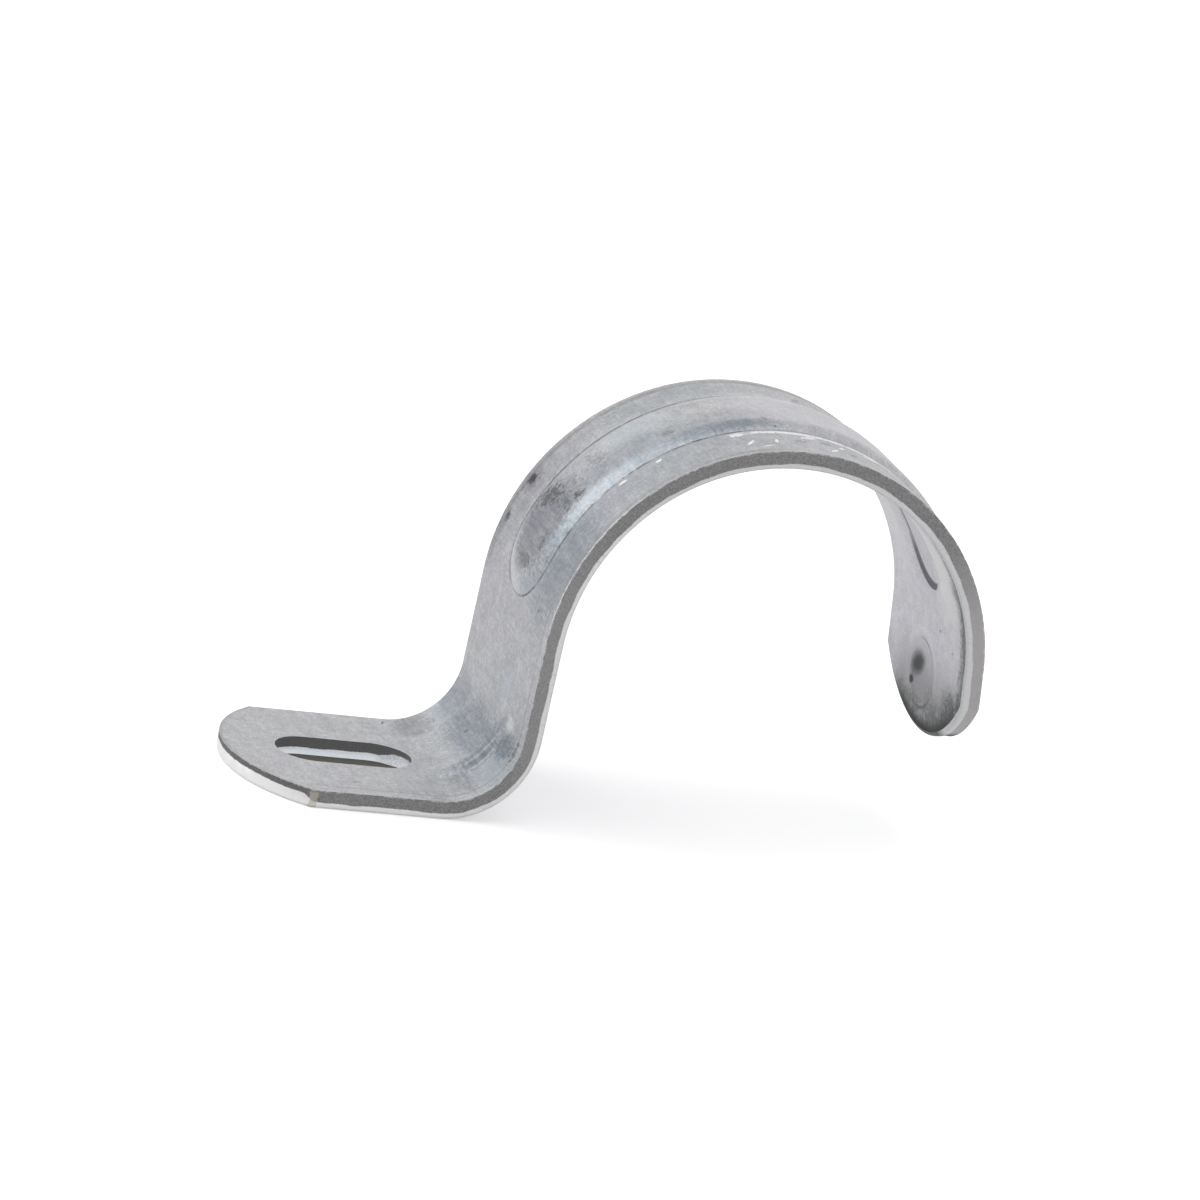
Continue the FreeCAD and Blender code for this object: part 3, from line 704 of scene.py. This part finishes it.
DARK_SPECKS = [
    (5.3, 8.2, 0.42, 0.1, 1.2, 0.6, 0.2, 0.8),
    (26.2, -0.4, 0.5, 1.1, 0.1, 1.1, 1.2, 0.42),
    (31.3, 1.7, 0.85, 1.7, 0.3, 0.9, 1.5, 0.75),
    (33.0, -2.1, 0.42, 0.6, 0.5, 0.9, 1.4, 0.75),
    (31.9, -1.4, 0.25, 1.1, -0.3, 0.9, 1.1, 0.5),
    (35.7, 0.8, 0.7, 1.4, 0.0, 1.2, 1.4, 0.35),
    (41.2, -1.9, 0.4, 0.5, 0.3, 1.2, 1.6, 0.35),
    (49.4, -3.9, 0.13, 0.13, 0.0, 0.6, 0.4, 0.8),
    (48.9, -2.8, 0.2, 0.35, 0.3, 0.8, 0.8, 0.5),
    (43.0, 1.8, 0.07, 0.3, 0.3, 0.6, 0.3, 0.6),
    (12.9, -8.6, 0.9, 0.3, 0.0, 0.9, 1.2, 0.6),
    (9.2, 6.7, 0.12, 0.3, -0.1, 0.9, 0.5, 0.5),
    (10.9, 0.5, 0.2, 0.25, 0.3, 0.9, 0.9, 0.5),
    (-0.6, -6.9, 0.4, 0.25, 0.3, 0.9, 0.9, 0.3),
    (54.5, 6.4, 0.25, 0.8, -0.5, 0.9, 1.2, 0.3),
    (53.0, -6.2, 0.5, 0.3, 0.4, 0.9, 1.4, 0.4),
    (50.6, -6.9, 0.4, 0.25, 0.2, 0.9, 1.4, 0.35),
    (55.2, -7.4, 0.5, 0.25, 0.6, 0.9, 1.4, 0.35),
    (28.3, -2.2, 0.7, 0.35, 0.3, 1.0, 1.4, 0.4),
    (29.6, 3.0, 0.5, 0.5, 0.3, 1.0, 1.4, 0.35),
    (24.0, -6.2, 0.15, 0.3, 0.3, 0.8, 0.9, 0.4),
]
BLACK_STAINS = [
    (30.95, 7.8, 0.55, 0.62, 0.0, 0.9, 0.5, 0.9),
    (30.9, 7.6, 1.1, 1.0, 0.0, 1.0, 0.7, 0.35),
    (27.3, 8.0, 0.4, 0.42, 0.0, 0.9, 0.5, 0.7),
]
# Pale chips, partly painted glints.
PALE_CHIPS_AND_GLINTS = [
    (36.1, -4.9, 0.42, 0.22, 0.0, 0.4, 0.9, 1.0),
    (39.4, -5.1, 0.3, 0.2, 0.0, 0.4, 0.9, 1.0),
    (46.0, -5.05, 0.5, 0.3, 0.0, 0.4, 1.2, 1.0),
    (46.5, -7.1, 0.5, 0.16, 0.9, 0.5, 1.1, 1.0),
    (48.6, -7.0, 0.45, 0.13, 1.3, 0.5, 1.1, 1.0),
    (47.6, -8.2, 0.55, 0.12, 0.3, 0.5, 1.4, 0.9),
    (51.8, -5.5, 0.8, 0.2, 0.5, 0.5, 1.5, 0.8),
    (54.3, -6.4, 0.6, 0.18, 0.9, 0.5, 1.3, 1.0),
    (53.3, -7.7, 0.55, 0.12, 0.9, 0.5, 1.3, 0.9),
    (57.3, -5.5, 0.9, 0.22, 0.3, 0.5, 1.5, 0.8),
    (14.3, -5.6, 0.55, 0.9, 0.1, 1.2, 0.9, 0.4),
]
# The rest are on the conduit's side of the leg.
# Painted light on the upper part of the leg.
PAINTED_LIGHT_ON_LEG = [
    (68.8, -5.4, 5.5, 3.0, 0.0, 1.2, 0.4, 0.5),
    (68.0, 6.0, 6.0, 3.0, 0.0, 1.2, 0.4, 0.25),
]
# Painted shade along the leg's front edge, and grime near its tip.
LEG_SHADE_AND_GRIME = [
    (74.0, -9.45, 8.0, 1.1, 0.0, 1.3, 0.8, 0.8),
    (70.6, -9.0, 1.0, 1.2, 0.0, 1.3, 0.8, 0.6),
    (82.2, -7.2, 1.7, 1.9, 0.7, 1.3, 1.0, 0.7),
    (83.3, -3.6, 1.3, 2.8, 0.2, 1.4, 0.9, 0.5),
    (83.9, 2.6, 0.8, 2.6, 0.0, 1.2, 1.4, 0.35),
]
# Painted shade inside the dimple, and small dark blotches.
DIMPLE_SHADE_AND_BLOTCHES = [
    (80.55, 1.8, 1.1, 0.75, 0.65, 1.2, 0.25, 0.85),
    (82.2, 2.5, 0.36, 0.36, 0.0, 0.7, 0.25, 0.9),
    (76.1, -3.1, 0.12, 0.2, 0.2, 0.6, 0.5, 0.6),
    (77.0, -6.3, 0.12, 0.12, 0.0, 0.6, 0.5, 0.6),
]

# Faint lines near the edges of the outer side: the place across, how wide the line is and how wide
# its core, the runs over which it comes in and goes out, how strong it is and its colour.
EDGE_LINES = [
    (8.45, 0.5, 0.1, (27.0, 31.0), (61.0, 55.0), 0.5, (0.2, 0.17, 0.15)),
    (-8.5, 0.2, 0.05, (29.0, 24.0), (-6.0, -3.0), 0.4, (0.22, 0.2, 0.2)),
    (-9.2, 0.45, 0.1, (22.0, 28.0), (52.0, 46.0), 0.35, (0.22, 0.2, 0.19)),
]
RIM_HIGHLIGHT = -9.74

# Distances from the rib's middle line: the painted shade under the front crease, the painted glint on
# the lip beside it, the painted shade along the back crease, and the dark line, painted shade with
# dirt, in the corner of the hollow.
UNDER_CREASE, LIP, BACK_CREASE, HOLLOW_LINE = 4.75, 4.8, 4.52, 3.02
# The ring of painted shade round the dimple, and how far its centre is off the strip's middle.
DIMPLE_RING, RING_SHIFT = 2.85, 0.45


class Zinc:
    """The galvanised skin's colour, laid on tint by tint, and the grains that its tints share."""

    def __init__(self):
        self.material, self.tree, self.shader, self.strip = new_material("galvanised_zinc")
        self.run, self.across, rise = separate(self.tree, self.strip)
        self.outside = rise.ramp(0.7, 0.8)
        self.inside = 1.0 - self.outside
        self.mark = mark_group()
        self.broad = self.grained(self.strip, 0.22, distortion=0.5)
        self.mottle = self.grained(self.strip, 1.0, detail=5.0, roughness=0.7)
        self.fine = self.grained(self.strip, 5.0, roughness=0.75)
        brushed = combine(self.tree, self.run * 4.2, self.across * 0.4, rise)
        self.grain = self.grained(brushed, 1.0, roughness=0.6)
        drawn_out = combine(self.tree, self.run * 0.16, self.across * 1.3, rise)
        self.streaks = self.grained(drawn_out, 1.0, detail=1.0, distortion=0.4)
        self.patchy = self.grained(self.strip, 2.6, detail=5.0, roughness=0.7)
        self.wander = (self.mottle - 0.5) * 1.8 + (self.patchy - 0.5) * 2.6
        self.colour = (0.47, 0.47, 0.488)

    def grained(self, vector, scale, **settings):
        return noise(self.tree, vector, scale, **settings)[0]

    def marks(self, rows):
        """The largest share of the marks in a list."""
        total = None
        for row in rows:
            node = self.tree.nodes.new("ShaderNodeGroup")
            node.node_tree = self.mark
            self.tree.links.new(self.strip, node.inputs["Strip"])
            self.tree.links.new(self.wander.socket, node.inputs["Wander"])
            for slot, value in zip(list(node.inputs)[2:], row):
                slot.default_value = value
            share = Amount(self.tree, node.outputs[0])
            total = share if total is None else total.at_least(share)
        return total

    def tint(self, share, colour):
        self.colour = mix_colour(self.tree, share, self.colour, colour)


def mottled_ground(zinc):
    """Broad tints, then the dark and the light of each grain. Gives back the fine scratches."""
    on_arch = zinc.run.ramp(17.0, 28.0)
    zinc.tint(zinc.mottle.ramp(0.3, 0.7), (0.645, 0.645, 0.66))
    zinc.tint(zinc.broad.ramp(0.5, 0.72) * (0.35 + on_arch * 0.25), (0.45, 0.485, 0.49))
    zinc.tint(zinc.broad.ramp(0.48, 0.28) * (0.25 + on_arch * 0.35), (0.5, 0.48, 0.55))
    for grain, low, high, strength, colour in (
            (zinc.grain, 0.52, 0.78, 0.4, (0.37, 0.37, 0.39)),
            (zinc.grain, 0.44, 0.25, 0.35, (0.78, 0.78, 0.78)),
            (zinc.fine, 0.5, 0.7, 0.5, (0.32, 0.32, 0.335)),
            (zinc.fine, 0.48, 0.3, 0.5, (0.85, 0.85, 0.85)),
            (zinc.patchy, 0.58, 0.72, 0.45, (0.3, 0.31, 0.315)),
            (zinc.patchy, 0.42, 0.3, 0.3, (0.8, 0.8, 0.81))):
        zinc.tint(grain.ramp(low, high) * strength, colour)
    scratch = zinc.streaks.line(0.5, 0.006, 0.001) * zinc.mottle.ramp(0.45, 0.6)
    zinc.tint(scratch * 0.35, (0.3, 0.3, 0.32))
    return scratch


def reflection_and_stain_patches(zinc):
    """Patches on the outer side: painted reflections and shade in pale and dark blue, grey patches that
    are partly stains and partly painted shade, and a paler part at the rib's top right.
    """
    run, across, outside = zinc.run, zinc.across, zinc.outside
    # Paler towards the rib's top right.
    paler = run.ramp(44.0, 50.0) * across.ramp(-4.0, -2.0) * across.ramp(6.5, 4.0)
    zinc.tint(paler * outside * 0.34, (0.86, 0.82, 0.87))
    # Painted pale reflections.
    zinc.tint(zinc.marks(PALE_REFLECTION_PATCHES) * outside, (0.58, 0.64, 0.69))
    hatched = 0.72 + (zinc.grain * 0.5 + zinc.patchy * 0.5).ramp(0.38, 0.62) * 0.5
    # Painted dark reflections and shade in the bend and on the arch.
    zinc.tint(zinc.marks(DARK_REFLECTION_PATCHES) * outside * hatched, (0.17, 0.21, 0.255))
    # Grey stains and painted shade.
    zinc.tint(zinc.marks(GREY_STAIN_AND_SHADE_PATCHES) * outside * hatched, (0.165, 0.175, 0.205))


def rib_flanks(zinc, off, front):
    """The front flank tinted blue as a painted reflection, a painted highlight on the round end, and
    painted shade along the two creases.
    """
    run, across, outside = zinc.run, zinc.across, zinc.outside
    flank = off.ramp(2.1, 3.5) * off.ramp(RIB_HALF, 4.1)
    # A painted blue reflection on the front flank.
    flank_reflection_tint = flank * run.ramp(46.0, 38.0) * front * run.ramp(26.0, 31.0).at_least(run.ramp(27.5, 24.5))
    zinc.tint(flank_reflection_tint * outside * 0.3, (0.34, 0.44, 0.52))
    # A painted highlight on the rib's round end.
    end_flank_highlight = off.ramp(2.0, 3.0) * off.ramp(4.3, 4.1) * run.ramp(29.0, 25.5) * across.ramp(-2.4, 0.0)
    zinc.tint(end_flank_highlight * outside * 0.36, (0.86, 0.85, 0.86))
    # Painted shade just under the front crease.
    under = off.line(UNDER_CREASE, 0.5, 0.15) * front * run.ramp(27.0, 32.0) * run.ramp(48.0, 44.0)
    zinc.tint(under * outside * 0.22, (0.17, 0.22, 0.26))
    # Painted shade on the back flank, which faces away from the light.
    back_flank_shade = off.ramp(3.3, 4.2) * off.ramp(4.7, 4.4) * across.ramp(1.5, 3.0) * run.ramp(52.0, 44.0)
    zinc.tint(back_flank_shade * outside * 0.3, (0.2, 0.21, 0.23))


def crease_lines(zinc, off, front):
    """The dark line in the rib's creases, painted shade with some dirt, and the pale lip beside it, a
    painted glint with scraped zinc. Gives back how broken the dark lines are."""
    run, across, outside, mottle = zinc.run, zinc.across, zinc.outside, zinc.mottle
    # Painted shade behind the back crease, where the rib's shoulder hides the margin.
    back_crease_shade = off.line(BACK_CREASE, 0.28, 0.06) * across.ramp(1.5, 3.0) * run.ramp(62.0, 54.0)
    broken = 0.35 + mottle.ramp(0.4, 0.58) * 0.65
    # Painted shade and dirt in the front crease.
    crease_dirt_and_shade = off.line(RIB_HALF, 0.13, 0.03) * run.ramp(60.0, 50.0)
    crease_dirt_and_shade = crease_dirt_and_shade * (1.0 - run.ramp(27.0, 25.5) * across.ramp(-1.0, 1.0) * 0.75)
    crease_dirt_and_shade = crease_dirt_and_shade * (1.0 - run.ramp(44.0, 49.0) * 0.6)
    crease_dirt_and_shade = crease_dirt_and_shade.at_least(back_crease_shade * 0.75)
    zinc.tint(crease_dirt_and_shade * outside * broken * 0.8, (0.08, 0.08, 0.1))
    # A painted glint along the lip, brighter and ragged where the zinc is scraped.
    lip_glint = off.line(LIP, 0.42, 0.16) * front * run.ramp(24.0, 33.0) * run.ramp(62.0, 58.0)
    scrape_and_glint = run.ramp(44.5, 48.0) * (mottle * 0.7 + zinc.fine * 0.3).ramp(0.38, 0.5)
    zinc.tint(lip_glint * outside * (0.1 + scrape_and_glint * 0.9), (1.0, 1.0, 1.0))
    return broken


def hollow_dark_line(zinc, off):
    """The dark line where the wall of the rib's hollow meets its floor, painted shade with some dirt,
    which it gives back.
    """
    run, across = zinc.run, zinc.across
    thick = run.ramp(69.0, 71.2) * across.ramp(-1.6, 0.6) * 0.28
    end_line = ((off + thick).ramp(2.7, 2.86) * off.ramp(3.34, 3.2) * run.ramp(68.5, 71.0)
                * across.ramp(-1.7, -1.1))
    side_line = off.line(HOLLOW_LINE, 0.16, 0.04) * across.ramp(0.0, 1.0)
    # Painted shade in the hollow's corner and at its end wall, with some dirt.
    hollow_shade_and_dirt = end_line.at_least(side_line * 0.75) * zinc.inside * 0.96
    zinc.tint(hollow_shade_and_dirt, (0.02, 0.018, 0.02))
    return hollow_shade_and_dirt


def leg_marks(zinc):
    """The dimple's ring of painted shade, painted light and shade on the conduit's side of the leg, and
    dirt at its tip. Gives back its dark marks, painted shade and dirt.
    """
    run, across, inside = zinc.run, zinc.across, zinc.inside
    down = run - DIMPLE_RUN
    away = distance(down, across - RING_SHIFT)
    # The ring is painted shade in the dimple's crease, on one side only.
    ring = away.line(DIMPLE_RING, 0.24, 0.04) * (down * 0.3 - across).ramp(-2.8, 0.6)
    # The conduit's side painted paler and more lilac overall.
    zinc.tint(inside * 0.22, (0.84, 0.8, 0.9))
    # A painted highlight round the dimple's rim.
    zinc.tint(away.line(3.5, 0.5, 0.1) * inside * 0.25, (0.8, 0.8, 0.8))
    # Painted light on the upper leg.
    zinc.tint(zinc.marks(PAINTED_LIGHT_ON_LEG) * inside, (0.85, 0.85, 0.82))
    rim = distance(run - (LEG_TIP - END_RADIUS), across)
    # Painted shade: the conduit's side darker towards the leg's end.
    zinc.tint(run.ramp(77.0, 82.5) * across.ramp(8.0, 4.0) * inside * 0.66, (0.25, 0.25, 0.255))
    not_back = across.ramp(7.0, 3.0)
    spotted = 0.1 + zinc.mottle.ramp(0.3, 0.6) * 0.5 + zinc.patchy.ramp(0.4, 0.6) * 0.5
    grime = rim.ramp(9.0, 11.6) * run.ramp(79.0, 80.5) * (0.35 + not_back * 0.65) * spotted
    zinc.tint(grime * inside * 0.9, (0.09, 0.09, 0.088))
    rim_dirt = rim.ramp(10.6, 11.6) * run.ramp(81.0, 83.0) * not_back * inside * 0.9
    zinc.tint(rim_dirt, (0.025, 0.025, 0.025))
    zinc.tint(ring * inside * 0.75, (0.1, 0.1, 0.11))
    # Painted shade inside the dimple, on the half towards the leg's end.
    zinc.tint(away.ramp(2.8, 2.4) * down.ramp(-1.0, 2.0) * inside * 0.25, (0.2, 0.2, 0.22))
    # Painted shade along the front edge, with grime near the tip.
    leg_shade_and_grime = zinc.marks(LEG_SHADE_AND_GRIME) * inside * (0.6 + spotted * 0.4)
    zinc.tint(leg_shade_and_grime, (0.1, 0.115, 0.105))
    # Painted shade inside the dimple, with small dark blotches.
    dimple_shade_and_blotches = zinc.marks(DIMPLE_SHADE_AND_BLOTCHES) * inside
    zinc.tint(dimple_shade_and_blotches, (0.05, 0.065, 0.055))
    return dimple_shade_and_blotches, rim_dirt, leg_shade_and_grime


def edge_marks(zinc, broken):
    """Lines near the edges of the outer side, a painted highlight on its front rim, and the foot's dark
    rim.
    """
    run, across, outside = zinc.run, zinc.across, zinc.outside
    for place, foot, core, comes_in, goes_out, strength, colour in EDGE_LINES:
        line = across.line(place, foot, core) * run.ramp(*comes_in) * run.ramp(*goes_out)
        zinc.tint(line * outside * broken * strength, colour)
    # A painted highlight along the front rim.
    rim_highlight = across.line(RIM_HIGHLIGHT, 0.13, 0.03) * run.ramp(22.0, 25.0) * run.ramp(38.0, 34.0)
    zinc.tint(rim_highlight * outside * zinc.patchy.ramp(0.42, 0.55) * 0.9, (1.0, 1.0, 1.0))
    foot_rim = distance(run - (TIP_RUN + END_RADIUS), across)
    zinc.tint(foot_rim.ramp(11.6, 11.9) * run.ramp(-3.0, -5.0) * 0.25, (0.22, 0.22, 0.23))


def specks_and_chips(zinc):
    """The marks on the outer side that stand alone: dark specks, black stains, and pale chips with
    painted glints.
    """
    speckled = 0.55 + zinc.patchy.ramp(0.4, 0.6) * 0.45
    dark = zinc.marks(DARK_SPECKS) * zinc.outside * speckled
    zinc.tint(dark, (0.1, 0.105, 0.1))
    stain = zinc.marks(BLACK_STAINS) * zinc.outside * (0.7 + speckled * 0.3)
    zinc.tint(stain, (0.04, 0.032, 0.045))
    # Pale chips with painted glints.
    chips_and_glints = zinc.marks(PALE_CHIPS_AND_GLINTS) * zinc.outside
    zinc.tint(chips_and_glints, (0.98, 0.98, 0.96))
    return dark, stain, chips_and_glints


def zinc_coat():
    """The galvanised skin: mottled zinc with patches of painted reflection and shade, painted shade and
    dirt in the creases, stains, and chips with painted glints.
    """
    zinc = Zinc()
    scratch = mottled_ground(zinc)
    reflection_and_stain_patches(zinc)
    off = rib_distance(zinc.run, zinc.across)
    front = zinc.across.ramp(0.5, -1.0)
    rib_flanks(zinc, off, front)
    broken = crease_lines(zinc, off, front)
    hollow_shade_and_dirt = hollow_dark_line(zinc, off)
    dimple_shade_and_blotches, rim_dirt, leg_shade_and_grime = leg_marks(zinc)
    edge_marks(zinc, broken)
    dark, stain, chips_and_glints = specks_and_chips(zinc)
    tree, shader, mottle, fine = zinc.tree, zinc.shader, zinc.mottle, zinc.fine
    tree.links.new(zinc.colour, shader.inputs["Base Color"])

    # The dark marks, dirt and painted shade, are no metal, and they are dull.
    dirt_and_shade = hollow_shade_and_dirt.at_least(dimple_shade_and_blotches * 0.6).at_least(rim_dirt).at_least(leg_shade_and_grime * 0.6)
    metal = 0.86 * (1.0 - dirt_and_shade * 0.9)
    tree.links.new(metal.socket, shader.inputs["Metallic"])
    dull = 0.3 + mottle * 0.2 + fine * 0.1 + dark * 0.2 + stain * 0.2 + dirt_and_shade * 0.4 - chips_and_glints * 0.1
    tree.links.new(dull.socket, shader.inputs["Roughness"])
    height = mottle * 0.6 + zinc.grain * 0.35 + fine * 0.4 - scratch * 0.3
    add_bump(tree, shader, height, 0.00002, 0.8)
    return zinc.material


def wall_value(tree, name):
    node = tree.nodes.new("ShaderNodeAttribute")
    node.attribute_name = name
    return Amount(tree, node.outputs["Fac"])


def torn_steel():
    """The sheared faces: a smooth bright band on the conduit's side and a dark torn band outside."""
    material, tree, shader, strip = new_material("sheared_steel")
    run, across, rise = separate(tree, strip)
    slot = wall_value(tree, "slot_wall")
    outline = 1.0 - slot
    coarse, _ = noise(tree, strip, 2.2, detail=4.0, roughness=0.7)
    fine, _ = noise(tree, strip, 9.0, roughness=0.75)
    upright = combine(tree, run * 2.2, across * 2.2, rise * 0.25)
    streak, _ = noise(tree, upright, 1.0, roughness=0.6)
    leg = run.ramp(LEG_START - 14.0, LEG_START - 2.0)
    riser = run.ramp(9.0, 14.0) * run.ramp(34.0, 26.0)
    foot_tip = run.ramp(-4.6, -5.4)
    dark = tinted(tree, (0.215, 0.21, 0.21), [
        (fine.ramp(0.3, 0.7), (0.41, 0.404, 0.404)),
        # Painted light: the torn band is lighter on the leg and on the riser.
        (leg * 0.75, (0.6, 0.575, 0.58)),
        (riser * 0.3, (0.5, 0.49, 0.49)),
        (foot_tip * 0.55, (0.1, 0.1, 0.1)),
        (slot * 0.8, (0.12, 0.118, 0.122)),
        (fine.ramp(0.68, 0.78) * 0.4, (0.75, 0.73, 0.7)),
    ])
    chalky = slot * run.ramp(3.2, 4.2) * fine.ramp(0.42, 0.55)
    bright = tinted(tree, (0.74, 0.74, 0.75), [
        (fine.ramp(0.35, 0.65), (0.88, 0.88, 0.88)),
        (streak.ramp(0.55, 0.75) * 0.3, (0.46, 0.47, 0.49)),
        (run.ramp(10.0, 4.0) * outline * 0.75, (1.0, 1.0, 1.0)),
        (run.ramp(30.0, 40.0) * 0.38, (0.5, 0.5, 0.51)),
        # Painted light: the slot's smooth band is paler and bluer.
        (slot * 0.6, (0.8, 0.87, 0.95)),
        (chalky * 0.5, (0.4, 0.4, 0.4)),
    ])
    torn = (rise - wall_value(tree, "torn_from") + (coarse - 0.5) * 0.16).ramp(-0.03, 0.05)
    greasy = (run.ramp(81.5, 83.6) * across.ramp(-6.6, -4.6) * (0.5 + coarse)).at_most(0.92)
    burr = rise.ramp(1.34, 1.46) * coarse.ramp(0.48, 0.6) * outline
    # The small brown nick near the foot's front corner.
    nick_run, nick_across = -4.7, -9.6
    nick = ((run - nick_run + (coarse - 0.5) * 0.7).size().ramp(0.36, 0.26)
            * across.line(nick_across, 0.6, 0.4) * rise.ramp(1.4, 1.2))
    colour = tinted(tree, bright, [
        (torn, dark),
        (greasy, (0.06, 0.06, 0.062)),
        (burr * 0.6, (0.85, 0.85, 0.84)),
        (nick * 0.7, (0.6, 0.55, 0.48)),
    ])
    tree.links.new(colour, shader.inputs["Base Color"])
    shader.inputs["Metallic"].default_value = 0.7
    dull = 0.34 + torn * 0.28 + fine * 0.12
    tree.links.new(dull.socket, shader.inputs["Roughness"])
    add_bump(tree, shader, coarse * torn + fine * 0.5, 0.00006, 0.9)
    return material


FLOOR_HALF = 4.0


def pale_floor():
    """A white floor under the foot: white to the camera and in reflections, with a soft shadow."""
    half = FLOOR_HALF
    mesh = bpy.data.meshes.new("floor")
    mesh.from_pydata([(-half, -half, 0), (half, -half, 0), (half, half, 0), (-half, half, 0)], [],
                     [(0, 1, 2, 3)])
    floor = bpy.data.objects.new("floor", mesh)
    bpy.context.scene.collection.objects.link(floor)
    material = bpy.data.materials.new("pale_floor")
    material.use_nodes = True
    tree = material.node_tree
    tree.nodes.clear()
    output = tree.nodes.new("ShaderNodeOutputMaterial")
    matt = tree.nodes.new("ShaderNodeBsdfDiffuse")
    place = tree.nodes.new("ShaderNodeTexCoord")
    x, y, _ = separate(tree, place.outputs["Object"])
    # Under the foot the floor is painted dark as a painted shadow, which shows only through the slot.
    under = (x * x * 0.45 + y * y).root().ramp(0.006, 0.0045)
    colour = mix_colour(tree, under, (0.86, 0.86, 0.86), (0.15, 0.15, 0.125))
    tree.links.new(colour, matt.inputs["Color"])
    glow = tree.nodes.new("ShaderNodeEmission")
    light = tree.nodes.new("ShaderNodeLightPath")
    seen = Amount(tree, light.outputs["Is Camera Ray"]) * 0.42
    mirrored = Amount(tree, light.outputs["Is Glossy Ray"])
    mirrored = mirrored.at_least(Amount(tree, light.outputs["Is Transmission Ray"]))
    # Seen in reflections, the floor under the foot glows, a painted light for the slot's walls.
    lift = (seen * (1.0 - under)).at_least(mirrored * (0.08 + under * 0.9))
    tree.links.new(lift.socket, glow.inputs["Strength"])
    both = tree.nodes.new("ShaderNodeAddShader")
    tree.links.new(matt.outputs[0], both.inputs[0])
    tree.links.new(glow.outputs[0], both.inputs[1])
    tree.links.new(both.outputs[0], output.inputs["Surface"])
    mesh.materials.append(material)


def studio_world():
    """A white surround that turns grey behind the camera, with two dimmer parts, as a room has."""
    world = bpy.data.worlds.new("studio")
    world.use_nodes = True
    bpy.context.scene.world = world
    tree = world.node_tree
    tree.nodes.clear()
    output = tree.nodes.new("ShaderNodeOutputWorld")
    sky = tree.nodes.new("ShaderNodeBackground")
    place = tree.nodes.new("ShaderNodeTexCoord")
    x, y, z = separate(tree, place.outputs["Generated"])

    def towards(a, b, c):
        """How far the view goes towards a direction, from -1 to 1."""
        size = math.sqrt(a * a + b * b + c * c)
        return x * (a / size) + y * (b / size) + z * (c / size)

    colour = tinted(tree, (0.33, 0.33, 0.34), [
        (y.ramp(-0.75, 0.25), (1.0, 1.0, 1.0)),
        (towards(-0.42, 0.905, 0.06).ramp(0.925, 0.99) * 0.75, (0.3, 0.32, 0.35)),
        (towards(0.3, 0.3, 0.9).ramp(0.72, 0.95) * 0.4, (0.3, 0.33, 0.38)),
    ])
    tree.links.new(colour, sky.inputs["Color"])
    sky.inputs["Strength"].default_value = 0.9
    tree.links.new(sky.outputs[0], output.inputs["Surface"])


# Each lamp has a name, a place, the point that it faces, its size in metres and its power in watts.
LAMPS = [
    ("overhead", (0.0, -0.1, 0.9), (0.02, 0, 0.01), 0.7, 1.6),
    ("left", (-0.6, 0.36, 0.46), (0.02, 0, 0.015), 0.6, 1.35),
    ("front", (0.1, -0.9, 0.5), (0.02, 0, 0.015), 0.5, 1.2),
]


def soft_box(name, place, target, size, power):
    lamp = bpy.data.lights.new(name, "AREA")
    lamp.shape = "SQUARE"
    lamp.size = size
    lamp.energy = power
    item = bpy.data.objects.new(name, lamp)
    bpy.context.scene.collection.objects.link(item)
    item.location = place
    item.rotation_mode = "QUATERNION"
    item.rotation_quaternion = (Vector(target) - Vector(place)).to_track_quat("-Z", "Y")


# The camera stands where the photograph was taken from.
CAMERA_PLACE = (-0.15651, -0.50232, 0.17135)
CAMERA_RIGHT = (0.9439, -0.2701, 0.1901)
CAMERA_AHEAD = (0.3158, 0.9065, -0.2801)
LENS = 210.2


def photo_camera():
    lens = bpy.data.cameras.new("camera")
    lens.sensor_width = 36.0
    lens.lens = LENS
    lens.clip_start = 0.01
    lens.clip_end = 50.0
    camera = bpy.data.objects.new("camera", lens)
    bpy.context.scene.collection.objects.link(camera)
    ahead = Vector(CAMERA_AHEAD).normalized()
    up = Vector(CAMERA_RIGHT).normalized().cross(ahead).normalized()
    right = ahead.cross(up)
    turn = Matrix((right, up, -ahead)).transposed()
    camera.matrix_world = Matrix.Translation(CAMERA_PLACE) @ turn.to_4x4()
    bpy.context.scene.camera = camera


strap = pressed_strap(zinc_coat(), torn_steel())
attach(strap, "root")
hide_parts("strap")
pale_floor()
studio_world()
for lamp_row in LAMPS:
    soft_box(*lamp_row)
photo_camera()
bpy.context.scene.view_settings.view_transform = "Standard"
